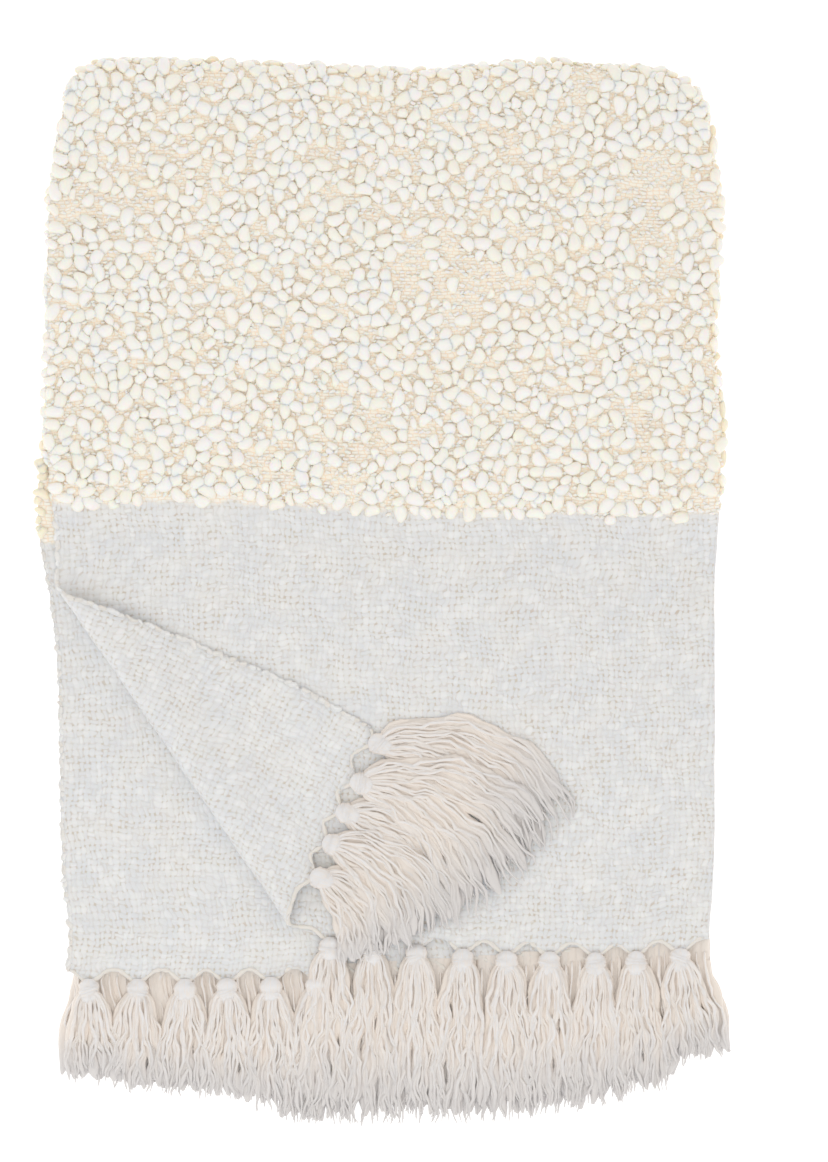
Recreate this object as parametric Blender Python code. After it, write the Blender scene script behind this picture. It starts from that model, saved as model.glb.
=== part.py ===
"""Folded throw: one woven cloth, folded in four, with knotted tassels on both ends.

The cloth is folded in half across its width, with that fold at +X, and then in half along its length,
with that fold at +Y. Four layers lie on one another, and all the tassels point to -Y. The near left
corner of the top layer is turned back over it. Z is up and the underside is at Z = 0.
"""

import math
import random

import bmesh
import bpy
import numpy as np

# The cloth, in metres. A layer's thickness is plain at the ends and nubby in the middle.
PLAIN_THICK = 0.003
NUBBY_THICK = 0.0075
NUBBY_BLEND = 0.060
LAYER_GAP = 0.0015
END_GAP = 0.0032
END_GAP_FROM = -0.270
END_GAP_RUN = 0.050
WAVE_HEIGHT = 0.0024
RIM_BULGE = 0.45

# Outlines of the folded layers as seen from above. x runs to the right, y away from the fringe.
EDGE_COLUMNS = ("y", "left_top", "left_second", "left_under", "right")
EDGE_ROWS = (
    (0.470, -0.303, -0.297, -0.293, 0.311),
    (0.431, -0.311, -0.305, -0.301, 0.313),
    (0.375, -0.317, -0.313, -0.307, 0.323),
    (0.319, -0.320, -0.314, -0.309, 0.319),
    (0.246, -0.319, -0.316, -0.309, 0.314),
    (0.156, -0.321, -0.322, -0.314, 0.324),
    (0.091, -0.316, -0.331, -0.322, 0.321),
    (0.050, -0.311, -0.329, -0.321, 0.318),
    (0.011, -0.314, -0.320, -0.313, 0.316),
    (-0.059, -0.317, -0.311, -0.305, 0.316),
    (-0.154, -0.315, -0.309, -0.303, 0.316),
    (-0.233, -0.314, -0.308, -0.302, 0.316),
    (-0.274, -0.308, -0.306, -0.300, 0.315),
    (-0.320, -0.301, -0.299, -0.295, 0.309),
    (-0.361, -0.303, -0.303, -0.296, 0.312),
)
TOP_COLUMNS = ("x", "y")
TOP_ROWS = (
    (-0.303, 0.512),
    (-0.175, 0.511),
    (-0.051, 0.506),
    (0.044, 0.501),
    (0.149, 0.511),
    (0.206, 0.509),
    (0.258, 0.503),
    (0.311, 0.503),
)
END_COLUMNS = ("across", "top", "second", "third", "under")
END_ROWS = (
    (0.00, -0.323, -0.361, -0.355, -0.348),
    (0.17, -0.315, -0.361, -0.356, -0.350),
    (0.27, -0.316, -0.361, -0.355, -0.347),
    (0.47, -0.323, -0.356, -0.350, -0.343),
    (0.67, -0.334, -0.349, -0.345, -0.341),
    (0.86, -0.336, -0.339, -0.339, -0.338),
    (1.00, -0.330, -0.330, -0.334, -0.334),
)
# Where the nubby weave ends, at the left and the right edge.
NUBBY_END = (0.089, 0.066)
LEFT_CORNER_RADIUS = 0.040
RIGHT_CORNER_RADIUS = 0.048
INNER_FOLD_DROP = 0.038

# The turned-back corner: a point on its rolled edge, the edge's slope, and the roll's radius.
CREASE_POINT = (-0.209, -0.138)
CREASE_SLOPE_DEG = -55.5
ROLL_RADIUS = 0.009
CORNER_REST = 0.0055
CORNER_SAG_RUN = 0.070

# The grid: how far across or down each line of points lies, and how many steps each fold has.
ACROSS = (0.0, 0.04, 0.09, 0.17, 0.27, 0.37, 0.47, 0.57, 0.67, 0.77, 0.86, 0.94, 1.0)
DOWN = (0.0, 0.04, 0.09, 0.17, 0.26, 0.35, 0.43, 0.46, 0.48, 0.50, 0.52, 0.54, 0.57, 0.63, 0.71, 0.79, 0.86, 0.92, 0.96, 1.0)
SIDE_STEPS = 4
TOP_STEPS = 6
ROLL_STEPS = 7

# The fringe: a strip of the cloth's end that holds the knots, then the knots and their strands.
STRIP_PART = 0.00035
STRIP_WIDTH = 0.007
STRIP_INSET = 0.001
ROOT_WIDTH = 0.011
KNOT_WIDTH = 0.014
KNOT_HEIGHT = 0.0052
KNOT_LENGTH = 0.013
STRANDS_FROM = 0.0156
NECK_HEIGHT = 0.0036
STRAND_WIDTH = 0.0032
STRAND_HEIGHT = 0.0030
LEVEL_AT_KNOTS = 0.0062
LEVEL_AT_TIPS = 0.0036
SETTLE_FROM = -0.385
SETTLE_RUN = 0.130
CORNER_CLEAR = 0.0020
LAST_LEAN_DEG = 8.0
REACH_COLUMNS = ("x", "y")
REACH_ROWS = (
    (-0.300, -0.442),
    (-0.278, -0.470),
    (-0.200, -0.480),
    (-0.130, -0.487),
    (-0.047, -0.512),
    (0.010, -0.504),
    (0.117, -0.503),
    (0.205, -0.492),
    (0.247, -0.474),
    (0.283, -0.452),
    (0.301, -0.425),
)
# Tassels of the turned-back corner, in the order they are knotted: distance from the corner along
# the end, first and last heading below +X, length, how far the strands spread, and layer of strands.
CORNER_COLUMNS = ("along", "first_deg", "last_deg", "length", "spread_deg", "over")
CORNER_ROWS = (
    (0.013, -12.0, 76.0, 0.200, 15.0, 0),
    (0.054, -4.0, 66.0, 0.190, 26.0, 1),
    (0.086, 4.0, 80.0, 0.145, 18.0, 0),
    (0.118, 8.0, 88.0, 0.128, 18.0, 1),
    (0.152, 18.0, 90.0, 0.100, 16.0, 0),
)

CREAM = (0.86, 0.80, 0.69, 1.0)
OFF_WHITE = (0.88, 0.85, 0.80, 1.0)

LAYERS = ("top", "second", "third", "under")
FOLD_PARAM = 0.02
UP = np.array((0.0, 0.0, 1.0))


def column(rows, columns, name):
    """One column of a table, as an array."""
    at = columns.index(name)
    return np.array([row[at] for row in rows], dtype=float)


def table(rows, columns, key, value):
    """A function that reads one column of a table against another, straight between its rows."""
    keys = column(rows, columns, key)
    values = column(rows, columns, value)
    order = np.argsort(keys)
    return lambda at: float(np.interp(at, keys[order], values[order]))


LEFT = {
    "top": table(EDGE_ROWS, EDGE_COLUMNS, "y", "left_top"),
    "second": table(EDGE_ROWS, EDGE_COLUMNS, "y", "left_second"),
    "third": table(EDGE_ROWS, EDGE_COLUMNS, "y", "left_under"),
    "under": table(EDGE_ROWS, EDGE_COLUMNS, "y", "left_under"),
}
RIGHT = table(EDGE_ROWS, EDGE_COLUMNS, "y", "right")
TOP = table(TOP_ROWS, TOP_COLUMNS, "x", "y")
END = {layer: table(END_ROWS, END_COLUMNS, "across", layer) for layer in LAYERS}
REACH = table(REACH_ROWS, REACH_COLUMNS, "x", "y")
CREASE = math.radians(CREASE_SLOPE_DEG)
CREASE_OUT = np.array((math.sin(CREASE), -math.cos(CREASE)))


def heading_vector(heading):
    """Unit direction seen from above."""
    return np.array((math.cos(heading), math.sin(heading)))


def ease(value):
    """0 below 0, 1 above 1, and a smooth step between."""
    value = min(max(value, 0.0), 1.0)
    return value * value * (3.0 - 2.0 * value)


def thickness(x, y):
    """How thick the cloth is at a place seen from above."""
    across = (x - LEFT["top"](0.0)) / (RIGHT(0.0) - LEFT["top"](0.0))
    line = NUBBY_END[0] + (NUBBY_END[1] - NUBBY_END[0]) * across
    nubby = ease((y - line) / NUBBY_BLEND + 0.5)
    return PLAIN_THICK + (NUBBY_THICK - PLAIN_THICK) * nubby


def wave(x, y):
    """Soft unevenness of the pile's upper face. It dies out towards the fringe."""
    swell = math.sin(13.0 * x + 5.0 * y + 0.6) * math.sin(9.0 * y - 4.0 * x + 1.1)
    swell += 0.5 * math.sin(23.0 * x - 11.0 * y + 2.0)
    return WAVE_HEIGHT * (0.5 + swell / 3.0) * ease((y + 0.30) / 0.12)


def level(layer, x, y):
    """Height of the middle of this layer in the pile."""
    gap = LAYER_GAP + (END_GAP - LAYER_GAP) * ease((END_GAP_FROM - y) / END_GAP_RUN)
    height = 0.0
    for below in reversed(LAYERS):
        thick = thickness(x, y)
        if below == layer:
            share = (3 - LAYERS.index(layer)) / 3.0
            return height + thick / 2.0 + share * wave(x, y)
        height += thick + gap
    return height


def fold_line(outer, across):
    """Y at which the layers start to bend into the fold at +Y, for the outer or the inner pair."""
    x = LEFT["top"](0.470) + (RIGHT(0.470) - LEFT["top"](0.470)) * across
    y = TOP(x) - NUBBY_THICK / 2.0
    y -= (level("top", x, y) - level("under", x, y)) / 2.0
    if outer:
        return y
    return y - INNER_FOLD_DROP * (1.0 - across) ** 1.5


def plan(layer, across, down):
    """Flat x and y of a point of a layer, before its corner is turned."""
    start = fold_line(layer in ("top", "under"), across)
    y = start - (start - END[layer](across)) * down
    return LEFT[layer](y) + (side_fold_x(layer, y) - LEFT[layer](y)) * across, y


def side_fold_x(layer, y):
    """X at which the layers start to bend into the fold at +X."""
    pair = ("top", "second") if layer in ("top", "second") else ("third", "under")
    x = RIGHT(y)
    reach = (level(pair[0], x, y) - level(pair[1], x, y)) / 2.0
    return x - reach - thickness(x, y) / 2.0


def turned(x, y):
    """Middle, facing and thickness of the top layer at a flat place, with its corner turned back."""
    spot = np.array((x, y))
    tangent = np.array(CREASE_POINT) - CREASE_OUT * ROLL_RADIUS
    past = float(np.dot(spot - tangent, CREASE_OUT))
    thick = thickness(x, y)
    if past <= 0.0:
        return np.array((x, y, level("top", x, y))), UP, thick
    base = spot - CREASE_OUT * past
    out = np.array((CREASE_OUT[0], CREASE_OUT[1], 0.0))
    half_turn = math.pi * ROLL_RADIUS
    if past < half_turn:
        angle = past / ROLL_RADIUS
        middle = np.array((base[0], base[1], level("top", base[0], base[1]) + ROLL_RADIUS))
        facing = UP * math.cos(angle) - out * math.sin(angle)
        return middle - facing * ROLL_RADIUS, facing, thick
    back = past - half_turn
    spot = base - CREASE_OUT * back
    lift = CORNER_REST + (2.0 * ROLL_RADIUS - CORNER_REST) * (1.0 - ease(back / CORNER_SAG_RUN))
    return np.array((spot[0], spot[1], level("top", spot[0], spot[1]) + lift)), -UP, thick


def rounded(point):
    """Rounds the two corners at +Y as seen from above. It moves nothing elsewhere."""
    x, y, z = point
    for side, radius in ((-1.0, LEFT_CORNER_RADIUS), (1.0, RIGHT_CORNER_RADIUS)):
        edge = LEFT["top"](0.470) if side < 0.0 else RIGHT(0.470)
        far_x = side * (x - edge) / radius + 1.0
        far_y = (y - TOP(edge)) / radius + 1.0
        if far_x <= 0.0 or far_y <= 0.0:
            continue
        round_x = far_x * math.sqrt(max(1.0 - far_y * far_y / 2.0, 0.0))
        round_y = far_y * math.sqrt(max(1.0 - far_x * far_x / 2.0, 0.0))
        x = edge + side * (round_x - 1.0) * radius
        y = TOP(edge) + (round_y - 1.0) * radius
    return (x, y, z)


def share_past_fold(value):
    """How far beyond its fold a signed grid place lies, from 0 to 1."""
    return max((abs(value) - FOLD_PARAM) / (1.0 - FOLD_PARAM), 0.0)


def sheet_point(u, v):
    """Middle, facing and thickness of the cloth at a grid place.

    u runs from -1, the free edge of the second and third layers, over the side fold at 0 to 1, the
    free edge of the top and under layers. v runs from -1, the fringed end of the top and second
    layers, over the fold at 0 to 1, the fringed end of the third and under layers. The facing
    points to the side of the cloth that is outside at the folds.
    """
    outer = u > 0.0
    front = v < 0.0
    layer = ("top" if outer else "second") if front else ("under" if outer else "third")
    across = 1.0 - share_past_fold(u)
    turn = math.asin(max(min(u / FOLD_PARAM, 1.0), -1.0))
    swing = math.radians(90.0) * max(min(v / FOLD_PARAM, 1.0), -1.0)
    x, y = plan(layer, across, share_past_fold(v))
    pair = ("top", "second") if front else ("third", "under")
    if abs(u) >= FOLD_PARAM and abs(v) >= FOLD_PARAM:
        if layer == "top":
            return turned(x, y)
        facing = {"second": -UP, "third": UP, "under": -UP}[layer]
        return np.array((x, y, level(layer, x, y))), facing, thickness(x, y)
    side = np.array((1.0, 0.0, 0.0))
    if abs(v) >= FOLD_PARAM:
        thick = thickness(x, y)
        centre = (level(pair[0], x, y) + level(pair[1], x, y)) / 2.0
        reach = (level(pair[0], x, y) - level(pair[1], x, y)) / 2.0
        facing = side * math.cos(turn) + UP * math.sin(turn) * (1.0 if front else -1.0)
        return np.array((x, y, centre)) + facing * reach, facing, thick
    centre = (level("top", x, y) + level("under", x, y)) / 2.0
    outer_reach = (level("top", x, y) - level("under", x, y)) / 2.0
    inner_reach = (level("second", x, y) - level("third", x, y)) / 2.0
    away = np.array((0.0, math.cos(swing), -math.sin(swing)))
    middle_reach = (outer_reach + inner_reach) / 2.0
    small = (outer_reach - inner_reach) / 2.0
    facing = side * math.cos(turn) + away * math.sin(turn)
    point = np.array((x, y, centre)) + away * middle_reach + facing * small
    return point, facing, thickness(x, y)


def fold_steps(count):
    """Signed grid places inside a fold, evenly spaced by angle, without its two ends."""
    return [FOLD_PARAM * (2.0 * step / count - 1.0) for step in range(1, count)]


def grid_line(shares, inside):
    """All signed grid places along one direction."""
    far = [FOLD_PARAM + (1.0 - FOLD_PARAM) * share for share in shares]
    return [-place for place in reversed(far)] + inside + far


def new_object(name, mesh, material):
    """Adds a mesh to the scene as one named object, with its faces turned outwards."""
    mesh.faces.ensure_lookup_table()
    bmesh.ops.triangulate(mesh, faces=mesh.faces[:])
    bmesh.ops.recalc_face_normals(mesh, faces=mesh.faces[:])
    data = bpy.data.meshes.new(name)
    mesh.to_mesh(data)
    mesh.free()
    data.materials.append(material)
    made = bpy.data.objects.new(name, data)
    bpy.context.scene.collection.objects.link(made)
    return made


def cloth_material(name, colour, roughness):
    """A plain dull woven colour."""
    material = bpy.data.materials.new(name)
    material.use_nodes = True
    shader = material.node_tree.nodes["Principled BSDF"]
    shader.inputs["Base Color"].default_value = colour
    shader.inputs["Roughness"].default_value = roughness
    return material


def cut_along_roll(flat, top_faces):
    """Adds grid lines to the top layer where its corner starts to turn, through the roll and beyond."""
    tangent = np.array(CREASE_POINT) - CREASE_OUT * ROLL_RADIUS
    half_turn = math.pi * ROLL_RADIUS
    distances = [half_turn * step / ROLL_STEPS for step in range(ROLL_STEPS + 1)]
    distances += [half_turn + CORNER_SAG_RUN * share for share in (0.3, 0.6, 1.0)]
    for distance in distances:
        spot = tangent + CREASE_OUT * distance
        faces = [face for face in flat.faces if face[top_faces] == 1]
        edges = {edge for face in faces for edge in face.edges}
        points = {point for face in faces for point in face.verts}
        bmesh.ops.bisect_plane(
            flat,
            geom=faces + list(edges) + list(points),
            dist=1e-6,
            plane_co=(spot[0], spot[1], 0.0),
            plane_no=(CREASE_OUT[0], CREASE_OUT[1], 0.0),
        )


def sheet_middle():
    """The cloth's middle as points with a facing and a thickness, and as faces between them."""
    across = grid_line([1.0 - share for share in reversed(ACROSS)], [])
    folds = [FOLD_PARAM * math.sin(math.pi * (step / SIDE_STEPS - 0.5)) for step in range(1, SIDE_STEPS)]
    half = len(across) // 2
    across = across[:half] + folds + across[half:]
    down = grid_line(DOWN, fold_steps(TOP_STEPS))
    flat = bmesh.new()
    u_of = flat.verts.layers.float.new("u")
    v_of = flat.verts.layers.float.new("v")
    known = flat.verts.layers.int.new("known")
    top_faces = flat.faces.layers.int.new("top")
    rows = []
    for v in down:
        row = []
        for u in across:
            is_top = u >= FOLD_PARAM and v <= -FOLD_PARAM
            if is_top:
                place = (*plan("top", 1.0 - share_past_fold(u), share_past_fold(v)), 0.0)
            else:
                place = sheet_point(u, v)[0]
            point = flat.verts.new(place)
            point[u_of] = u
            point[v_of] = v
            point[known] = 0 if is_top else 1
            row.append(point)
        rows.append(row)
    for below, above in zip(rows, rows[1:]):
        for at in range(len(across) - 1):
            corners = (below[at], below[at + 1], above[at + 1], above[at])
            face = flat.faces.new(corners)
            face[top_faces] = int(all(corner[known] == 0 for corner in corners))
    cut_along_roll(flat, top_faces)
    flat.verts.index_update()
    points = []
    for point in flat.verts:
        if point[known] == 0:
            points.append(turned(point.co.x, point.co.y))
        else:
            points.append(sheet_point(point[u_of], point[v_of]))
    faces = [[corner.index for corner in face.verts] for face in flat.faces]
    rim = [
        [corner.index for corner in (edge.link_loops[0].vert, edge.link_loops[0].link_loop_next.vert)]
        for edge in flat.edges
        if edge.is_boundary
    ]
    flat.free()
    return points, faces, rim


def rim_direction(points, rim):
    """For each point of the cloth's edge, the level direction away from the cloth."""
    away = {}
    for first, second in rim:
        run = points[second][0] - points[first][0]
        for at in (first, second):
            turned_out = np.cross(run, points[at][1])
            away[at] = away.get(at, np.zeros(3)) + turned_out / max(np.linalg.norm(turned_out), 1e-9)
    return {at: direction / np.linalg.norm(direction) for at, direction in away.items()}


def make_cloth(material):
    """The folded cloth as one closed body."""
    points, faces, rim = sheet_middle()
    body = bmesh.new()
    outside = [body.verts.new(rounded(middle + facing * thick / 2.0)) for middle, facing, thick in points]
    inside = [body.verts.new(rounded(middle - facing * thick / 2.0)) for middle, facing, thick in points]
    for face in faces:
        body.faces.new([outside[at] for at in face])
        body.faces.new([inside[at] for at in reversed(face)])
    away = rim_direction(points, rim)
    edge = {}
    for at, direction in away.items():
        middle, _, thick = points[at]
        edge[at] = body.verts.new(rounded(middle + direction * (thick - PLAIN_THICK) * RIM_BULGE))
    for first, second in rim:
        body.faces.new((outside[first], outside[second], edge[second], edge[first]))
        body.faces.new((edge[first], edge[second], inside[second], inside[first]))
    return new_object("cloth", body, material)


def end_width(layer):
    """How wide a layer's end is from its free edge to the side fold."""
    return plan(layer, 1.0, 1.0)[0] - plan(layer, 0.0, 1.0)[0]


def strip_place(layer, along, depth):
    """Middle and facing of this layer's end strip, this far from the free edge and beyond the cloth's end."""
    x, y = plan(layer, along / end_width(layer), 1.0)
    y -= depth
    if layer == "top":
        middle, facing, _ = turned(x, y)
        return middle, facing
    return np.array((x, y, level(layer, x, y))), UP


def strand_floor(layer, y):
    """Underside of this layer's knots and strands, which sink together towards the tips."""
    sunk = min(max((SETTLE_FROM - y) / SETTLE_RUN, 0.0), 1.0)
    step = LEVEL_AT_KNOTS + (LEVEL_AT_TIPS - LEVEL_AT_KNOTS) * sunk
    return step * (3 - LAYERS.index(layer))


def corner_floor(x, y, over):
    """What the turned-back corner's strands lie on: the top layer, or its own fringe."""
    clear = CORNER_CLEAR + KNOT_HEIGHT * ease((-0.255 - y) / 0.040)
    return level("top", x, y) + PLAIN_THICK / 2.0 + clear + over * (STRAND_HEIGHT + 0.0016)


class Tassel:
    """Where one tassel grows: its root, its headings, and how far and how wide it goes."""

    def __init__(self, layer, along, count, headings, length, spread, over=None):
        self.layer = layer
        self.root, _ = strip_place(layer, along, STRIP_PART + STRIP_WIDTH)
        near, _ = strip_place(layer, along, STRIP_PART)
        self.outward = math.atan2(self.root[1] - near[1], self.root[0] - near[0])
        self.count = count
        self.headings = headings
        self.length = length
        self.spread = spread
        self.over = over

    def floor(self, x, y, gone):
        """Height of the underside at a place, this far from the root."""
        if self.over is None:
            return strand_floor(self.layer, y)
        rest = corner_floor(x, y, self.over)
        start = max(self.root[2] - NECK_HEIGHT / 2.0, rest)
        return start + (rest - start) * ease(gone / 0.035)

    def ring(self, place, heading, width, height, gone, columns):
        """The points of one cut across the tassel: the upper row, then the lower row."""
        aside = heading_vector(heading + math.pi / 2.0)
        rows = []
        for at in range(columns + 1):
            shift = (at / columns - 0.5) * width
            spot = place + aside * shift
            bottom = self.floor(spot[0], spot[1], gone)
            rows.append(((spot[0], spot[1], bottom + height), (spot[0], spot[1], bottom)))
        return [upper for upper, _ in rows], [lower for _, lower in rows]

    def walk(self, distance, turn):
        """Place and heading at a distance from the root, for a strand that leaves the bunch by this turn."""
        knot = min(distance, STRANDS_FROM)
        place = np.array(self.root[:2]) + heading_vector(self.outward) * knot
        heading = self.outward
        steps = 12
        for step in range(steps if distance > knot else 0):
            share = (step + 0.5) / steps * (distance - knot) / (self.length - STRANDS_FROM)
            heading = self.headings[0] + (self.headings[1] - self.headings[0]) * share
            heading += turn * min(share * 2.0, 1.0)
            place = place + heading_vector(heading) * (distance - knot) / steps
        return place, heading


def bridge(body, first, second):
    """Faces between two cuts, all the way round."""
    first_ring = first[0] + first[1][::-1]
    second_ring = second[0] + second[1][::-1]
    count = len(first_ring)
    for at in range(count):
        after = (at + 1) % count
        body.faces.new((first_ring[at], first_ring[after], second_ring[after], second_ring[at]))


def grow_tassel(body, root, tassel, wobble):
    """Adds one knot and its strands to the strip's edge. root is the edge's upper and lower points."""
    columns = tassel.count
    cuts = (
        (0.20 * KNOT_LENGTH, 0.74 * KNOT_WIDTH, NECK_HEIGHT),
        (0.60 * KNOT_LENGTH, KNOT_WIDTH, KNOT_HEIGHT),
        (STRANDS_FROM, 0.72 * KNOT_WIDTH, 0.75 * KNOT_HEIGHT),
    )
    ring = root
    for gone, width, height in cuts:
        place, heading = tassel.walk(gone, 0.0)
        points = tassel.ring(place, heading, width, height, gone, columns)
        cut = tuple([body.verts.new(point) for point in row] for row in points)
        bridge(body, ring, cut)
        ring = cut
    for at in range(columns):
        off = (at + 0.5) / columns - 0.5
        turn = off * tassel.spread
        end = tassel.length * (1.0 - 0.10 * wobble.random())
        strand = ([ring[0][at], ring[0][at + 1]], [ring[1][at], ring[1][at + 1]])
        shares = (0.24, 0.55, 1.0)
        for share in shares:
            reach = STRANDS_FROM + (end - STRANDS_FROM) * share
            place, heading = tassel.walk(reach, turn)
            aside = heading_vector(heading + math.pi / 2.0)
            drift = 0.0007 * wobble.uniform(-1.0, 1.0)
            place = place + aside * (off * 1.25 * KNOT_WIDTH + drift)
            width = STRAND_WIDTH * (0.75 if share == 1.0 else 1.0)
            points = tassel.ring(place, heading, width, STRAND_HEIGHT, reach, 1)
            cut = tuple([body.verts.new(point) for point in row] for row in points)
            bridge(body, strand, cut)
            strand = cut
        body.faces.new(strand[0] + strand[1][::-1])


def make_fringe(name, layer, bounds, tassels, material):
    """One strip of a layer's end with its tassels, as one closed body.

    bounds is where the strip starts and stops, as distances from the layer's free edge. tassels is a
    list of such distances, each with its Tassel, from left to right.
    """
    wobble = random.Random(len(tassels))
    body = bmesh.new()
    bends = [across * end_width(layer) for across in ACROSS]
    places = [bounds[0]]
    roots = []
    for along, tassel in tassels:
        start = along - ROOT_WIDTH / 2.0
        places += [bend for bend in bends if places[-1] + 0.001 < bend < start - 0.001]
        roots.append(len(places))
        places += [start + at / tassel.count * ROOT_WIDTH for at in range(tassel.count + 1)]
    places += [bend for bend in bends if places[-1] + 0.001 < bend < bounds[1] - 0.001]
    places.append(bounds[1])
    edges = []
    for depth in (STRIP_PART, STRIP_PART + STRIP_WIDTH):
        upper = []
        lower = []
        for along in places:
            middle, facing = strip_place(layer, along, depth)
            side = facing * PLAIN_THICK / 2.0
            upper.append(body.verts.new(middle + side))
            lower.append(body.verts.new(middle - side))
        edges.append((upper, lower))
    (near_up, near_low), (far_up, far_low) = edges
    grown = {root + at for root, (_, tassel) in zip(roots, tassels) for at in range(tassel.count)}
    for at in range(len(places) - 1):
        body.faces.new((near_up[at], near_up[at + 1], far_up[at + 1], far_up[at]))
        body.faces.new((near_low[at], near_low[at + 1], far_low[at + 1], far_low[at]))
        body.faces.new((near_up[at], near_up[at + 1], near_low[at + 1], near_low[at]))
        if at not in grown:
            body.faces.new((far_up[at], far_up[at + 1], far_low[at + 1], far_low[at]))
    for end in (0, -1):
        body.faces.new((near_up[end], far_up[end], far_low[end], near_low[end]))
    for root, (_, tassel) in zip(roots, tassels):
        picked = slice(root, root + tassel.count + 1)
        upper = far_up[picked]
        lower = far_low[picked]
        if upper[0].co.z < lower[0].co.z:
            upper, lower = lower, upper
        sideways = np.array(upper[-1].co.xy) - np.array(upper[0].co.xy)
        if np.dot(sideways, heading_vector(tassel.outward + math.pi / 2.0)) < 0.0:
            upper = upper[::-1]
            lower = lower[::-1]
        grow_tassel(body, (upper, lower), tassel, wobble)
    return new_object(name, body, material)


def straight_fringe(name, layer, first, count, strands, material):
    """The fringe along the flat part of a layer's end, from this far from its free edge to the side fold."""
    wobble = random.Random(7 + LAYERS.index(layer))
    last = end_width(layer)
    pitch = (last - first) / count
    tassels = []
    for at in range(count):
        along = first + pitch * (at + 0.5) + 0.003 * wobble.uniform(-1.0, 1.0)
        lean = LAST_LEAN_DEG if at == count - 1 else 3.0 * wobble.uniform(-1.0, 1.0)
        heading = math.radians(-90.0 + lean)
        root, _ = strip_place(layer, along, STRIP_PART + STRIP_WIDTH)
        length = (root[1] - REACH(root[0])) * (1.0 - 0.05 * wobble.random())
        spread = (pitch - 0.016) / length
        tassels.append((along, Tassel(layer, along, strands, (heading, heading), length, spread)))
    return make_fringe(name, layer, (first, last), tassels, material)


def corner_fringe(name, last, material):
    """The fringe of the turned-back corner, which fans out over the top layer."""
    tassels = []
    for along, first_deg, last_deg, length, spread, over in CORNER_ROWS:
        headings = (math.radians(-first_deg), math.radians(-last_deg))
        tassels.append((along, Tassel("top", along, 4, headings, length, math.radians(spread), over)))
    return make_fringe(name, "top", (STRIP_INSET, last), tassels, material)


def main():
    for thing in list(bpy.data.objects):
        bpy.data.objects.remove(thing, do_unlink=True)
    make_cloth(cloth_material("cloth", CREAM, 0.9))
    off_white = cloth_material("fringe", OFF_WHITE, 0.95)
    roll_x = CREASE_POINT[0] + (CREASE_POINT[1] - END["top"](0.3)) / math.tan(-CREASE)
    roll_from = roll_x + ROLL_RADIUS / math.sin(-CREASE) - plan("top", 0.0, 1.0)[0]
    roll_past = roll_from - math.pi * ROLL_RADIUS / math.sin(-CREASE)
    corner_fringe("fringe_corner", roll_past - 0.006, off_white)
    straight_fringe("fringe_top", "top", roll_from + 0.004, 9, 4, off_white)
    straight_fringe("fringe_second", "second", STRIP_INSET, 14, 4, off_white)
    straight_fringe("fringe_third", "third", STRIP_INSET, 14, 2, off_white)
    straight_fringe("fringe_under", "under", STRIP_INSET, 14, 2, off_white)


main()
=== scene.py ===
import math
import random

import bmesh
import bpy
import numpy as np
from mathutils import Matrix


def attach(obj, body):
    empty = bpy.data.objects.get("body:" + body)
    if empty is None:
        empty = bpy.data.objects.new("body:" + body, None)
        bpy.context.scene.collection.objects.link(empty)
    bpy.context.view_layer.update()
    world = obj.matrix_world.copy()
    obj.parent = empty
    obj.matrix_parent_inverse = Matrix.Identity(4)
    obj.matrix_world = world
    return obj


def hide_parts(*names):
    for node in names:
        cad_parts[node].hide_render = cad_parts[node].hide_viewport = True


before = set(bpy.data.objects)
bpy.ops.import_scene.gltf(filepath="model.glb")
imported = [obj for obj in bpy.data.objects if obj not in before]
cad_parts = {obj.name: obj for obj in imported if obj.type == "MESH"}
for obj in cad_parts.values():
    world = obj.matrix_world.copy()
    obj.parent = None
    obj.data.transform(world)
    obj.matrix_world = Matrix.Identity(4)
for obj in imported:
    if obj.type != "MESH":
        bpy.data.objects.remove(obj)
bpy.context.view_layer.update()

# Camera and light: straight above, as in the photograph. The room's light is cool from the sides
# and warm from above, with one wide lamp in front of the throw.
PICTURE_SIZE = (828, 1162)
BODY_MIDDLE = (384, 597)
PIXEL = 0.000953
CAMERA_HEIGHT = 4.0
SCALE_HEIGHT = 0.020
SENSOR = 36.0
LAMP_PLACE = (-0.3, -1.2, 2.4)
SIDE_LIGHT = (0.93, 0.95, 1.0, 1.0)
TOP_LIGHT = (1.0, 0.92, 0.80, 1.0)

camera_data = bpy.data.cameras.new("camera")
camera_data.sensor_width = SENSOR
camera_data.lens = SENSOR * (CAMERA_HEIGHT - SCALE_HEIGHT) / (PICTURE_SIZE[1] * PIXEL)
camera_data.clip_end = 20.0
camera = bpy.data.objects.new("camera", camera_data)
camera.location = (
    (PICTURE_SIZE[0] / 2 - BODY_MIDDLE[0]) * PIXEL,
    (BODY_MIDDLE[1] - PICTURE_SIZE[1] / 2) * PIXEL,
    CAMERA_HEIGHT,
)
bpy.context.scene.collection.objects.link(camera)
bpy.context.scene.camera = camera
bpy.context.scene.view_settings.view_transform = "Standard"
bpy.context.scene.view_settings.look = "None"
bpy.context.scene.view_settings.gamma = 1.25

lamp_data = bpy.data.lights.new("lamp", "AREA")
lamp_data.size = 2.8
lamp_data.energy = 24.0
lamp_data.color = (0.90, 0.96, 1.0)
lamp = bpy.data.objects.new("lamp", lamp_data)
lamp.location = LAMP_PLACE
lamp_tilt = math.atan2(math.hypot(LAMP_PLACE[0], LAMP_PLACE[1]), LAMP_PLACE[2])
lamp_turn = math.atan2(-LAMP_PLACE[1], -LAMP_PLACE[0]) - math.pi / 2.0
lamp.rotation_euler = (lamp_tilt, 0.0, lamp_turn)
bpy.context.scene.collection.objects.link(lamp)

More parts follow.
